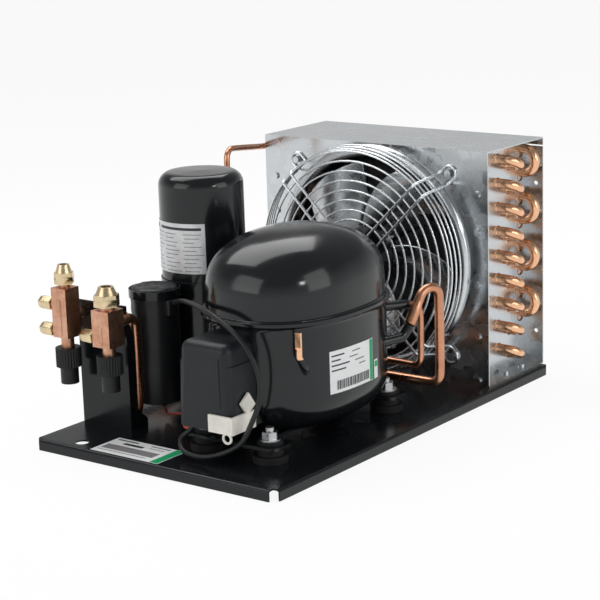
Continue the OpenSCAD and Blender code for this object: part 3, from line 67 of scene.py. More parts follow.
class FinishSettings(bpy.types.PropertyGroup):
    """Colours of the finishes"""

    paint: bpy.props.FloatVectorProperty(
        name="Black paint", description="Gloss paint of the tray and the shells",
        subtype="COLOR", default=(0.004, 0.005, 0.006), min=0, max=1)
    zinc: bpy.props.FloatVectorProperty(
        name="Zinc", description="Galvanised sheet of the casing",
        subtype="COLOR", default=(0.62, 0.65, 0.67), min=0, max=1)
    copper: bpy.props.FloatVectorProperty(
        name="Copper", description="Drawn copper tube",
        subtype="COLOR", default=(0.66, 0.33, 0.2), min=0, max=1)
    bend_copper: bpy.props.FloatVectorProperty(
        name="Bend copper", description="Bright copper of the coil's return bends",
        subtype="COLOR", default=(0.9, 0.54, 0.33), min=0, max=1)
    brass: bpy.props.FloatVectorProperty(
        name="Brass", description="Machined nuts and caps",
        subtype="COLOR", default=(0.72, 0.58, 0.36), min=0, max=1)
    plastic: bpy.props.FloatVectorProperty(
        name="Cover plastic", description="Grained plastic of the terminal cover",
        subtype="COLOR", default=(0.009, 0.0115, 0.0145), min=0, max=1)
    clamp: bpy.props.FloatVectorProperty(
        name="Clamp plastic", description="Pale plastic of the cord clamp",
        subtype="COLOR", default=(0.8, 0.78, 0.71), min=0, max=1)
    label: bpy.props.FloatVectorProperty(
        name="Label", description="Printed film of the labels",
        subtype="COLOR", default=(0.78, 0.8, 0.8), min=0, max=1)
    stripe: bpy.props.FloatVectorProperty(
        name="Label stripe", description="Green stripe at a label's end",
        subtype="COLOR", default=(0.0, 0.3, 0.11), min=0, max=1)


class PieceSettings(bpy.types.PropertyGroup):
    """Sizes of the detailed pieces"""

    ring_wire: bpy.props.FloatProperty(
        name="Ring wire", description="Radius of a guard ring's wire",
        unit="LENGTH", default=1.0 * MM, min=0.5 * MM, max=2 * MM)
    arm_wire: bpy.props.FloatProperty(
        name="Arm wire", description="Radius of a guard arm's wire",
        unit="LENGTH", default=1.45 * MM, min=0.5 * MM, max=3 * MM)
    weld_bead: bpy.props.FloatProperty(
        name="Weld bead", description="Radius of the bead along the shell's seam",
        unit="LENGTH", default=1.3 * MM, min=0.3 * MM, max=2 * MM)
    collar: bpy.props.FloatProperty(
        name="Collar", description="How far a collar stands out of a coil tube",
        unit="LENGTH", default=0.9 * MM, min=0.2 * MM, max=2 * MM)


def finishes():
    return bpy.context.scene.condensing_finish


def sizes():
    return bpy.context.scene.condensing_piece


# Materials

NOISE_ROUGHNESS = 0.55


class Surface:
    """A Principled material whose colour, roughness and relief come from noise on Object coordinates."""

    def __init__(self, name, metal=0.0, coat=0.0, coat_rough=0.1, specular=0.5):
        self.material = bpy.data.materials.new(name)
        self.material.use_nodes = True
        self.tree = self.material.node_tree
        self.shader = self.tree.nodes["Principled BSDF"]
        self.shader.inputs["Metallic"].default_value = metal
        self.shader.inputs["Coat Weight"].default_value = coat
        self.shader.inputs["Coat Roughness"].default_value = coat_rough
        self.shader.inputs["Specular IOR Level"].default_value = specular
        self.place = self.tree.nodes.new("ShaderNodeTexCoord").outputs["Object"]
        self.relief = None

    def node(self, kind, **sockets):
        made = self.tree.nodes.new(kind)
        for key, value in sockets.items():
            made.inputs[key.replace("_", " ")].default_value = value
        return made

    def link(self, start, end):
        self.tree.links.new(start, end)

    def stretched(self, scale):
        mapping = self.node("ShaderNodeMapping", Scale=scale)
        self.link(self.place, mapping.inputs["Vector"])
        return mapping.outputs["Vector"]

    def noise(self, scale, detail=4.0, place=None):
        made = self.node("ShaderNodeTexNoise", Scale=scale, Detail=detail, Roughness=NOISE_ROUGHNESS)
        self.link(place or self.place, made.inputs["Vector"])
        return made.outputs["Fac"]

    def cells(self, scale):
        made = self.node("ShaderNodeTexVoronoi", Scale=scale)
        self.link(self.place, made.inputs["Vector"])
        return made

    def ramp(self, fac, stops):
        made = self.tree.nodes.new("ShaderNodeValToRGB")
        ends = made.color_ramp.elements
        while len(ends) < len(stops):
            ends.new(0.5)
        for end, (at, colour) in zip(ends, stops):
            end.position = at
            end.color = (*colour, 1.0)
        self.link(fac, made.inputs["Fac"])
        return made.outputs["Color"]

    def spread(self, fac, low, high, start=0.3, end=0.7):
        made = self.node("ShaderNodeMapRange")
        for key, value in (("From Min", start), ("From Max", end), ("To Min", low), ("To Max", high)):
            made.inputs[key].default_value = value
        self.link(fac, made.inputs["Value"])
        return made.outputs["Result"]

    def mixed(self, fac, first, second):
        made = self.tree.nodes.new("ShaderNodeMix")
        made.data_type = "RGBA"
        sockets = (made.inputs[0], made.inputs[6], made.inputs[7])
        for socket, value in zip(sockets, (fac, first, second)):
            if isinstance(value, bpy.types.NodeSocket):
                self.link(value, socket)
            elif isinstance(value, (int, float)):
                socket.default_value = value
            else:
                socket.default_value = (*value, 1.0)
        return made.outputs[2]

    def colour(self, output):
        self.link(output, self.shader.inputs["Base Color"])

    def rough(self, output):
        self.link(output, self.shader.inputs["Roughness"])

    def bump(self, height, strength, distance=0.0003):
        made = self.node("ShaderNodeBump", Strength=strength, Distance=distance)
        self.link(height, made.inputs["Height"])
        if self.relief:
            self.link(self.relief, made.inputs["Normal"])
        self.relief = made.outputs["Normal"]
        self.link(self.relief, self.shader.inputs["Normal"])


def tint(colour, by):
    """A colour made darker or paler."""
    return tuple(min(1.0, c * by) for c in colour)


def black_paint():
    """Gloss stove enamel with a faint orange peel and a little dust."""
    s = Surface("black_paint", coat=0.12, coat_rough=0.08, specular=0.25)
    base = tuple(finishes().paint)
    dust = s.ramp(s.noise(1400, 2), [(0.0, base), (0.68, base), (0.78, tint(base, 3.5))])
    s.colour(s.mixed(s.noise(9, 3), dust, tint(base, 1.9)))
    s.rough(s.spread(s.noise(26, 5), 0.16, 0.3))
    s.bump(s.noise(420, 2), 0.06, 0.0002)
    return s.material


def shell_paint():
    """The compressor's thicker, wetter enamel."""
    s = Surface("shell_paint", coat=0.2, coat_rough=0.06, specular=0.34)
    base = tuple(finishes().paint)
    s.colour(s.mixed(s.noise(14, 4), base, tint(base, 1.8)))
    s.rough(s.spread(s.noise(35, 4), 0.13, 0.22))
    s.bump(s.noise(160, 3), 0.05, 0.0003)
    return s.material


def galvanised():
    """Hot-dip spangle: flat crystals that differ a little in tone and gloss."""
    s = Surface("galvanised", metal=1.0)
    base = tuple(finishes().zinc)
    grains = s.cells(95.0)
    tone = s.ramp(grains.outputs["Color"], [(0.1, tint(base, 0.93)), (0.9, tint(base, 1.07))])
    smears = s.noise(1.0, 6, place=s.stretched((5, 5, 48)))
    s.colour(s.mixed(s.spread(smears, 0.0, 0.35), tone, tint(base, 0.8)))
    s.rough(s.spread(s.mixed(0.5, grains.outputs["Color"], smears), 0.16, 0.32))
    s.bump(grains.outputs["Distance"], 0.05, 0.0002)
    return s.material


def bright_wire():
    """Bright zinc plate on drawn wire."""
    s = Surface("bright_wire", metal=1.0)
    base = tuple(finishes().zinc)
    s.colour(s.ramp(s.noise(260, 4), [(0.3, tint(base, 1.1)), (0.7, tint(base, 1.4))]))
    s.rough(s.spread(s.noise(500, 3), 0.2, 0.34))
    s.bump(s.noise(900, 2), 0.05, 0.0001)
    return s.material


def copper_tube(name="copper_tube", dull=0.3, rough=(0.22, 0.38), bare=None):
    """Drawn copper, browned in patches."""
    s = Surface(name, metal=1.0)
    base = tuple(bare or finishes().copper)
    brown = (base[0] * 0.5, base[1] * 0.42, base[2] * 0.4)
    patches = s.spread(s.noise(38, 5), 0.0, dull * 2)
    clean = s.ramp(s.noise(320, 3), [(0.3, tint(base, 0.93)), (0.7, tint(base, 1.08))])
    s.colour(s.mixed(patches, clean, brown))
    s.rough(s.spread(s.noise(110, 4), *rough))
    s.bump(s.noise(700, 3), 0.08, 0.0001)
    return s.material


def brass_stock():
    """Turned and milled brass with fine tool marks."""
    s = Surface("brass_stock", metal=1.0)
    base = tuple(finishes().brass)
    s.colour(s.ramp(s.noise(150, 4), [(0.25, tint(base, 0.82)), (0.75, tint(base, 1.12))]))
    marks = s.noise(1.0, 2, place=s.stretched((60, 60, 2600)))
    s.rough(s.spread(marks, 0.2, 0.36))
    s.bump(marks, 0.12, 0.0001)
    return s.material


def forged_bronze():
    """The valve bodies: forged and washed, more matt than tube."""
    s = Surface("forged_bronze", metal=1.0)
    base = tuple(finishes().copper)
    tone = s.ramp(s.noise(240, 6), [(0.2, tint(base, 0.5)), (0.8, tint(base, 1.05))])
    s.colour(s.mixed(s.spread(s.noise(70, 3), 0.0, 0.6), tone, (0.78, 0.5, 0.36)))
    s.rough(s.spread(s.noise(420, 4), 0.3, 0.48))
    s.bump(s.noise(1300, 3), 0.16, 0.0002)
    return s.material


def bare_steel():
    """Machined steel of the screws, shafts and springs."""
    s = Surface("bare_steel", metal=1.0)
    s.colour(s.ramp(s.noise(180, 5), [(0.3, (0.4, 0.41, 0.42)), (0.7, (0.56, 0.57, 0.58))]))
    s.rough(s.spread(s.noise(90, 4), 0.25, 0.4))
    s.bump(s.noise(1200, 2), 0.05, 0.0001)
    return s.material


def cast_iron():
    """Sand-cast iron of the pump, and the stator's laminations."""
    s = Surface("cast_iron", metal=0.6)
    s.colour(s.ramp(s.noise(300, 6), [(0.3, (0.08, 0.08, 0.085)), (0.7, (0.17, 0.17, 0.18))]))
    s.rough(s.spread(s.noise(200, 5), 0.5, 0.75))
    s.bump(s.noise(900, 4), 0.4, 0.0003)
    return s.material


def fin_sheet():
    """Mill-finish aluminium fins with dust between them."""
    s = Surface("fin_sheet", metal=1.0)
    s.colour(s.ramp(s.noise(60, 5), [(0.3, (0.5, 0.51, 0.52)), (0.75, (0.74, 0.75, 0.76))]))
    s.rough(s.spread(s.noise(130, 4), 0.3, 0.5))
    s.bump(s.noise(1.0, 3, place=s.stretched((900, 900, 90))), 0.15, 0.0002)
    return s.material


def moulded(name, base, rough, grain, scale=1500):
    """Moulded plastic or rubber with a spark-eroded grain."""
    s = Surface(name, specular=0.3)
    s.colour(s.ramp(s.noise(40, 5), [(0.25, tint(base, 0.85)), (0.75, tint(base, 1.25))]))
    s.rough(s.spread(s.noise(70, 4), *rough))
    s.bump(s.noise(scale, 3), grain, 0.0002)
    return s.material


def film():
    """Matt white label film."""
    s = Surface("label_film", specular=0.4)
    base = tuple(finishes().label)
    s.colour(s.ramp(s.noise(90, 4), [(0.3, tint(base, 0.95)), (0.7, base)]))
    s.rough(s.spread(s.noise(140, 3), 0.35, 0.5))
    s.bump(s.noise(600, 2), 0.05, 0.0001)
    return s.material


def silver_film():
    """The receiver's silver label."""
    s = Surface("silver_film", metal=0.55)
    s.colour(s.ramp(s.noise(120, 4), [(0.3, (0.55, 0.57, 0.58)), (0.7, (0.68, 0.7, 0.71))]))
    s.rough(s.spread(s.noise(160, 3), 0.32, 0.46))
    return s.material


def ink(name, colour):
    """Printed ink, slightly uneven."""
    s = Surface(name, specular=0.4)
    s.colour(s.ramp(s.noise(800, 3), [(0.3, tint(colour, 0.8)), (0.7, tint(colour, 1.25))]))
    s.rough(s.spread(s.noise(200, 2), 0.38, 0.5))
    return s.material


FINISHES = {}


def finish(name):
    """The material of a finish, made at its first use."""
    if name not in FINISHES:
        f = finishes()
        makers = {
            "black_paint": black_paint,
            "shell_paint": shell_paint,
            "galvanised": galvanised,
            "bright_wire": bright_wire,
            "copper_tube": copper_tube,
            "return_copper": lambda: copper_tube("return_copper", 0.1, (0.16, 0.28), f.bend_copper),
            "winding_copper": lambda: copper_tube("winding_copper", 0.3, (0.35, 0.5)),
            "brass_stock": brass_stock,
            "forged_bronze": forged_bronze,
            "bare_steel": bare_steel,
            "cast_iron": cast_iron,
            "fin_sheet": fin_sheet,
            "label_film": film,
            "silver_film": silver_film,
            "black_ink": lambda: ink("black_ink", (0.03, 0.03, 0.035)),
            "grey_ink": lambda: ink("grey_ink", (0.2, 0.19, 0.2)),
            "green_ink": lambda: ink("green_ink", tuple(f.stripe)),
        }
        mouldings = {
            "cover_plastic": (tuple(f.plastic), (0.34, 0.46), 0.12),
            "cap_plastic": ((0.012, 0.013, 0.014), (0.4, 0.55), 0.2),
            "clamp_plastic": (tuple(f.clamp), (0.3, 0.42), 0.05),
            "grey_plastic": ((0.1, 0.105, 0.11), (0.4, 0.5), 0.1),
            "boot_rubber": ((0.011, 0.012, 0.0135), (0.27, 0.4), 0.1, 700),
            "lead_rubber": ((0.012, 0.013, 0.014), (0.32, 0.46), 0.15, 900),
            "grommet_rubber": ((0.01, 0.01, 0.011), (0.5, 0.65), 0.2),
            "red_sleeve": ((0.3, 0.055, 0.04), (0.3, 0.4), 0.05),
            "can_plastic": ((0.05, 0.03, 0.025), (0.35, 0.45), 0.1),
        }
        if name in mouldings:
            FINISHES[name] = moulded(name, *mouldings[name])
        else:
            FINISHES[name] = makers[name]()
    return FINISHES[name]


def paint_nodes(finish_name, *nodes):
    """Gives CAD nodes that keep their own shape their finish."""
    for node in nodes:
        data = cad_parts[node].data
        data.materials.clear()
        data.materials.append(finish(finish_name))


# Making pieces

WELD = 0.02 * MM
FLAT_ANGLE = radians(0.5)


def piece(bm, name, finish_name, replaces=(), body="frame", smooth=35):
    """Turns a bmesh into an object at the origin that rides on a body."""
    data = bpy.data.meshes.new(name)
    for face in bm.faces:
        face.smooth = True
    for edge in bm.edges:
        edge.smooth = len(edge.link_faces) != 2 or edge.calc_face_angle(0) < radians(smooth)
    bm.to_mesh(data)
    bm.free()
    made = bpy.data.objects.new(name, data)
    bpy.context.scene.collection.objects.link(made)
    for each in [finish_name] if isinstance(finish_name, str) else finish_name:
        data.materials.append(finish(each))
    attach(made, body)
    if replaces:
        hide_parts(*replaces)
    return made


def copied(node, flat=False):
    """A merged copy of a CAD node's mesh, its flat faces whole again where flat is set."""
    bm = bmesh.new()
    bm.from_mesh(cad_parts[node].data)
    bmesh.ops.remove_doubles(bm, verts=bm.verts, dist=WELD)
    if flat:
        bmesh.ops.dissolve_limit(bm, angle_limit=FLAT_ANGLE, verts=bm.verts, edges=bm.edges)
    return bm


def smoothed(node, finish_name, angle=35, body="frame", flat=False):
    """A CAD node's own shape, shaded smooth up to an angle."""
    return piece(copied(node, flat=flat), node + "_skin", finish_name, (node,), body, angle)


def ring_edges(made):
    """The edges of a ring that create_circle has made."""
    return list({e for v in made["verts"] for e in v.link_edges})


def bridged(bm, rings, *caps):
    """Skins the rings in turn, fills those named as caps, and points the faces outwards."""
    for first, second in zip(rings, rings[1:]):
        bmesh.ops.bridge_loops(bm, edges=first + second)
    for cap in caps:
        bmesh.ops.holes_fill(bm, edges=cap)
    bmesh.ops.recalc_face_normals(bm, faces=bm.faces)


def placed(axes, spot):
    """A transform from three axes and a place."""
    made = Matrix.Identity(4)
    for i, axis in enumerate(axes):
        made.col[i] = (*axis, 0)
    made.translation = spot
    return made


def corner_points(route, bend, steps):
    """The route's points with each corner turned into an arc."""
    points = [route[0]]
    for before, at, after in zip(route, route[1:], route[2:]):
        a = (at - before).normalized()
        b = (after - at).normalized()
        angle = a.angle(b)
        if angle < 0.02:
            points.append(at)
            continue
        n = (b - a * a.dot(b)).normalized()
        back = bend * sin(angle / 2) / cos(angle / 2)
        centre = at - a * back + n * bend
        for k in range(steps + 1):
            q = angle * k / steps
            points.append(centre + bend * (a * sin(q) - n * cos(q)))
    points.append(route[-1])
    return points


def swept(bm, points, radius, sides):
    """Bridges a round section along the points."""
    rings = []
    side = None
    for i, at in enumerate(points):
        d = Vector()
        if i:
            d += (at - points[i - 1]).normalized()
        if i < len(points) - 1:
            d += (points[i + 1] - at).normalized()
        d.normalize()
        if side is None:
            side = d.orthogonal()
        side = (side - d * side.dot(d)).normalized()
        square = placed((side, d.cross(side), d), at)
        rings.append(ring_edges(bmesh.ops.create_circle(bm, segments=sides, radius=radius, matrix=square)))
    bridged(bm, rings, rings[0], rings[-1])


def mm(x, y, z):
    """A place in millimetres as a vector in metres."""
    return Vector((x, y, z)) * MM


# Places that the CAD model gives, in millimetres before mm() takes them to metres

BASE_X, TRAY_TOP = 13.8, 10.8
SHELL_X, SHELL_Y = 51 + BASE_X, -75
SHELL_HALF, SHELL_POWER, SHELL_SIDES = (72.0, 93.0), 2.4, 128
SHELL_FLOOR, BELLY_H, BELLY_R, BELLY_STEPS = 27.0, 34.0, 32.0, 12
RIM_Z, RIM_H, RIM_OUT = 135.0, 4.0, 3.5
DOME_FOOT, DOME_TOP, DOME_POWER = 149.0, 205.5, 0.8
DOME_TURN, DOME_STEPS = 88.5, 26
PAINTED_SHARE = 0.42
RECEIVER = (-79 + BASE_X, -52, 41.6)
BOOT, BOOT_FOOT = (-85 + BASE_X, -120.4), 28.8


def shell_ring(bm, inset, z):
    """A ring of the compressor shell's outline, a superellipse, at an inset from the full one."""
    made = bmesh.ops.create_circle(bm, segments=SHELL_SIDES, radius=1)
    half_x, half_y = inset if isinstance(inset, tuple) else [half - inset for half in SHELL_HALF]
    for v in made["verts"]:
        q = atan2(v.co.y, v.co.x)
        across = abs(cos(q) / half_x) ** SHELL_POWER + abs(sin(q) / half_y) ** SHELL_POWER
        reach = across ** (-1 / SHELL_POWER)
        v.co = mm(SHELL_X + reach * cos(q), SHELL_Y + reach * sin(q), z)
    return ring_edges(made)


def shell_loft(levels):
    """A closed shell through rings given as the inset from the full outline and the height."""
    bm = bmesh.new()
    rings = [shell_ring(bm, inset, z) for inset, z in levels]
    bridged(bm, rings, rings[0], rings[-1])
    return bm


def lower_pressing():
    """The lower half: its belly, its wall and the rim turned out."""
    belly = []
    for i in range(BELLY_STEPS + 1):
        q = radians(90 * i / BELLY_STEPS)
        belly.append((BELLY_R * (1 - sin(q)), SHELL_FLOOR + BELLY_H * (1 - cos(q))))
    low, out = RIM_Z - RIM_H, -RIM_OUT
    rim = [(0, low - 5), (-0.4, low - 2.4), (-1.6, low - 0.7), (out + 0.7, low), (out, low + 0.6),
           (out, RIM_Z - 0.6), (out + 0.6, RIM_Z), (0.2, RIM_Z), (3, RIM_Z)]
    piece(shell_loft(belly + rim), "compressor_lower_pressing", "shell_paint",
          ("compressor_lower_shell",))


def upper_pressing():
    """The upper half: a short wall closed by the dome."""
    wall_top = DOME_FOOT - 4
    bm = shell_loft([(4, RIM_Z - 1), (1, RIM_Z - 1), (1, RIM_Z + 2), (1, wall_top)])
    ends = [f for f in bm.faces if len(f.verts) > 8]
    bmesh.ops.delete(bm, geom=ends, context="FACES_ONLY")
    rings = []
    for i in range(DOME_STEPS + 1):
        q = radians(DOME_TURN * i / DOME_STEPS)
        share = cos(q) ** DOME_POWER
        rise = sin(q) ** DOME_POWER * (DOME_TOP - DOME_FOOT)
        rings.append(shell_ring(bm, tuple((half - 1) * share for half in SHELL_HALF), DOME_FOOT + rise))
    edge = [e for e in bm.edges
            if e.is_boundary and all(abs(v.co.z - wall_top * MM) < 1e-6 for v in e.verts)]
    bridged(bm, [edge] + rings, rings[-1])
    bmesh.ops.holes_fill(bm, edges=[e for e in bm.edges if e.is_boundary])
    bmesh.ops.recalc_face_normals(bm, faces=bm.faces)
    piece(bm, "compressor_upper_pressing", "shell_paint", ("compressor_upper_shell",))


def seam_weld():
    """The rippled bead where the two halves meet."""
    bm = bmesh.new()
    bead = sizes().weld_bead / MM
    rings = []
    for k, turn in enumerate(range(0, 100, 18)):
        rise = bead * cos(radians(turn)) * 1.1
        ring = shell_ring(bm, 1 - bead * sin(radians(turn)), RIM_Z - 0.2 + rise)
        for v in {v for e in ring for v in e.verts}:
            q = atan2(v.co.y / MM - SHELL_Y, v.co.x / MM - SHELL_X)
            v.co.z += (0.16 * sin(k) * sin(q * 130) + 0.1 * sin(q * 37)) * MM
        rings.append(ring)
    bridged(bm, rings)
    piece(bm, "seam_weld", "shell_paint", smooth=70)


def process_tube():
    """The process tube, painted with the shell at its root and bare copper above."""
    bm = copied("process_tube")
    low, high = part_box("process_tube")
    painted = low.z + (high.z - low.z) * PAINTED_SHARE
    bmesh.ops.bisect_plane(bm, geom=bm.verts[:] + bm.edges[:] + bm.faces[:], dist=1e-6,
                           plane_co=(0, 0, painted), plane_no=(0, 0, 1))
    for face in bm.faces:
        face.material_index = 1 if face.calc_center_median().z < painted else 0
    finer(piece(bm, "process_tube_skin", ["return_copper", "shell_paint"], ("process_tube",)))


class CONDENSING_OT_compressor(bpy.types.Operator):
    """Lofts the two halves of the compressor's shell and their weld"""

    bl_idname = "condensing.compressor"
    bl_label = "Compressor"

    def execute(self, context):
        lower_pressing()
        upper_pressing()
        seam_weld()
        for node, name in (("compressor_feet", "shell_paint"), ("shell_stubs", "shell_paint"),
                           ("rubber_grommets", "grommet_rubber"),
                           ("grommet_fasteners", "bare_steel"), ("compressor_label", "label_film")):
            finer(smoothed(node, name))
        process_tube()
        return {"FINISHED"}


def finer(obj):
    """Lets the large flat faces of a copied node rule its shading."""
    made = obj.modifiers.new("face_weight", "WEIGHTED_NORMAL")
    made.mode = "FACE_AREA_WITH_ANGLE"
    made.keep_sharp = True
    return obj


def softer(obj, width=0.5, angle=40):
    """Breaks the sharp edges of a copied node."""
    made = obj.modifiers.new("broken_edges", "BEVEL")
    made.width = width * MM
    made.segments = 2
    made.limit_method = "ANGLE"
    made.angle_limit = radians(angle)
    return finer(obj)


def rounder(obj):
    """Rounds a swept piece further."""
    made = obj.modifiers.new("rounder", "SUBSURF")
    made.levels = made.render_levels = 1
    return obj


PRINT_THICK, BAR_STEP = 0.12, 4.6


def wrapped(bm, wrap, u0, u1, v0, v1, nu=12, nv=2, index=0):
    """A thin patch laid on a surface that wrap(u, v) gives."""
    made = bmesh.ops.create_grid(bm, x_segments=nu, y_segments=nv, size=0.5)
    for v in made["verts"]:
        v.co = wrap(u0 + (u1 - u0) * (v.co.x + 0.5), v0 + (v1 - v0) * (v.co.y + 0.5))
    faces = list({f for v in made["verts"] for f in v.link_faces})
    for face in faces:
        face.material_index = index
    bmesh.ops.recalc_face_normals(bm, faces=faces)
    bmesh.ops.solidify(bm, geom=faces, thickness=PRINT_THICK * MM)


def bars(bm, wrap, spans, top, high, **options):
    """Plain bars below each other, from the start and end of each."""
    for row, (start, end) in enumerate(spans):
        z = top - row * BAR_STEP
        wrapped(bm, wrap, start, end, z - high, z, **options)


def shell_side(off):
    """The compressor's right side at a depth along Y, stood off by off."""
    half_x, half_y = SHELL_HALF[0] + off, SHELL_HALF[1] + off

    def wrap(y, z):
        share = (1 - abs((y - SHELL_Y) / half_y) ** SHELL_POWER) ** (1 / SHELL_POWER)
        return mm(SHELL_X + half_x * share, y, z)
    return wrap


def receiver_side(off):
    """The receiver's wall at a turn in degrees, stood off by off."""
    x, y, radius = RECEIVER

    def wrap(turn, z):
        a = radians(turn)
        return mm(x + (radius + off) * cos(a), y + (radius + off) * sin(a), z)
    return wrap


def tray_top(off):
    """The label on the tray, stood off by off."""
    def wrap(x, y):
        return mm(x + BASE_X, y, TRAY_TOP + off)
    return wrap


def compressor_print():
    """Bars, a row of narrow strips and the stripe on the compressor's label."""
    bm = bmesh.new()
    side = shell_side(0.46)
    bars(bm, side, ((-115, -99), (-115, -104), (-115, -92), (-115, -97)), 99, 1.4)
    bars(bm, side, ((-88, -76), (-92, -80), (-84, -70), (-78, -68)), 98.6, 1.2, nu=4, index=1)
    start = -109.0
    for k in range(28):
        wide = 0.55 + 0.5 * (k * 7 % 3)
        wrapped(bm, side, start, start + wide, 66, 74.5, nu=1, nv=1)
        start += wide + 0.55 + 0.25 * (k * 5 % 2)
    wrapped(bm, side, -60.5, -55.4, 63.6, 102.4, index=2)
    wrapped(bm, side, -51.6, -46.6, 74, 79.5, index=2)
    piece(bm, "compressor_label_print", ["black_ink", "grey_ink", "green_ink"])


def receiver_print():
    """A heading and ten rows of bars round the receiver's label."""
    bm = bmesh.new()
    side = receiver_side(0.62)
    wrapped(bm, side, -140, -128, 191, 195.5, nu=6, index=1)
    wrapped(bm, side, -120, -52, 192, 194.6, nu=18, index=1)
    for row in range(10):
        z = 188.4 - row * 4.0
        for part in range(3):
            turn = -140 + part * 31 + row % 2 * 2
            wide = 27 - (row * 5 + part * 7) % 13
            wrapped(bm, side, turn, turn + wide, z - 0.7, z, nu=8)
    piece(bm, "receiver_label_print", ["grey_ink", "black_ink"])


# Each mark on the tray's label: its span along X, its span along Y and its ink

BASE_MARKS = ((-71, -46, -197.6, -195.2, 0), (-30, -7, -197.6, -195.8, 0), (-58, -34, -206, -201.5, 0),
              (-28, -10, -203, -201.5, 1), (-71, -8, -222, -210, 1), (-71, -12, -226.4, -225, 1),
              (-2.5, 7, -231.6, -192.4, 2))


class CONDENSING_OT_labels(bpy.types.Operator):
    """Lays the plain bars and stripes of the three labels"""

    bl_idname = "condensing.labels"
    bl_label = "Labels"

    def execute(self, context):
        compressor_print()
        receiver_print()
        bm = bmesh.new()
        for x0, x1, y0, y1, ink_index in BASE_MARKS:
            wrapped(bm, tray_top(0.02), x0, x1, y0, y1, index=ink_index)
        piece(bm, "base_label_print", ["black_ink", "grey_ink", "green_ink"])
        finer(smoothed("base_label", "label_film"))
        finer(smoothed("receiver_label", "silver_film"))
        return {"FINISHED"}


COVER_BACK = (SHELL_Y - 70) * MM
COVER_LEAN, COVER_ROUND, COVER_WALL, COVER_HOLLOW = 4.5 * MM, 9 * MM, 2 * MM, 60 * MM


class CONDENSING_OT_terminal_box(bpy.types.Operator):
    """Moulds the soft-cornered terminal cover with its ridge, and the cord clamp"""

    bl_idname = "condensing.terminal_box"
    bl_label = "Terminal box"

    def execute(self, context):
        low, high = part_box("terminal_cover")
        bm = bmesh.new()
        bmesh.ops.create_cube(bm, size=1)
        for v in bm.verts:
            left, front, top = v.co.x < 0, v.co.y < 0, v.co.z > 0
            lean = COVER_LEAN if top else 0
            x = low.x + lean if left else high.x - lean
            y = low.y + (MM if top else 0) if front else COVER_BACK
            v.co = Vector((x, y, high.z if top else low.z))
        upright = [e for e in bm.edges if abs(e.verts[0].co.z - e.verts[1].co.z) > 10 * MM
                   and max(v.co.y for v in e.verts) < low.y + 5 * MM]
        crown = [e for e in bm.edges if all(abs(v.co.z - high.z) < 1e-6 for v in e.verts)
                 and min(v.co.y for v in e.verts) < COVER_BACK - MM]
        bmesh.ops.bevel(bm, geom=upright + crown, offset=COVER_ROUND, segments=9, profile=0.5,
                        affect="EDGES", material=-1)
        bmesh.ops.recalc_face_normals(bm, faces=bm.faces)
        floor = [f for f in bm.faces if f.normal.z < -0.9]
        bmesh.ops.inset_region(bm, faces=floor, thickness=COVER_WALL)
        least = 0.3 * (high.x - low.x) ** 2
        inner = [f for f in bm.faces if f.normal.z < -0.9 and f.calc_area() > least]
        for v in {v for f in inner for v in f.verts}:
            v.co.z += COVER_HOLLOW
        bmesh.ops.recalc_face_normals(bm, faces=bm.faces)
        finer(piece(bm, "cover_moulding", "cover_plastic", ("terminal_cover",), smooth=45))

        bm = bmesh.new()
        foot = Vector((high.x - 13 * MM, low.y, low.z))
        top = Vector((foot.x, low.y, high.z))
        swept(bm, [foot + mm(0, 1.2, 20), foot + mm(0, 0.5, 24), top + mm(-1, 0.8, -14),
                   top + mm(-1.4, 2.6, -9)], 1.1 * MM, 12)
        piece(bm, "cover_ridge", "cover_plastic")
        softer(smoothed("cord_clamp", "clamp_plastic", flat=True), 0.6)
        finer(smoothed("clamp_screw", "brass_stock"))
        paint_nodes("bare_steel", "hermetic_terminal")
        paint_nodes("cap_plastic", "start_relay")
        paint_nodes("grey_plastic", "overload_protector")
        return {"FINISHED"}


# Routes of the two cords from their exits, in the tray's own millimetres

LEAD_ROUTE = [(-57, -126, 129), (-30, -140, 137), (26, -174, 141), (67, -186, 128), (88, -186, 102),
              (93, -188, 74), (88, -196, 50), (80, -202, 33), (60, -208, 21.5), (38, -210, 16.5),
              (18, -207, 18), (9, -199, 26), (17, -193, 36), (20, -192, 52)]
WIRE_ROUTE = [(-79, -120.4, 22.8), (-78, -120.8, 19.1), (-75.6, -121.9, 16.9), (-71.6, -123.7, 16.6),
              (-62, -128, 19.4), (-47, -133.6, 23.4), (-32, -141, 25.4), (-20, -156, 27), (-10, -172, 29),
              (0, -181.6, 30.2), (10, -185.6, 32.6), (18, -186.6, 38.4), (22.4, -186.4, 46), (24, -186, 54)]


def eased(points, steps=9):
    """A smooth curve through the points of a cord's route."""
    ends = [points[0] * 2 - points[1], *points, points[-1] * 2 - points[-2]]
    curve = []
    for a, b, c, d in zip(ends, ends[1:], ends[2:], ends[3:]):
        for k in range(steps):
            t = k / steps
            curve.append(0.5 * (2 * b + (c - a) * t + (2 * a - 5 * b + 4 * c - d) * t ** 2
                                + (3 * b - a - 3 * c + d) * t ** 3))
    return curve + [points[-1]]


# Heights and radii of the boot, up its wall and over its folded top

BOOT_LEVELS = ((0, 19.4), (0, 21.2), (10, 21.6), (30, 22.2), (52, 22.8), (74, 23.3), (86, 23.0),
               (92, 23.6), (98, 23.1), (104, 23.7), (108, 23.7), (110.6, 23.2), (112.4, 22.1),
               (113.4, 20.4), (113.7, 18.2), (112.6, 15), (113.4, 11.5), (112.4, 7), (113.0, 3))


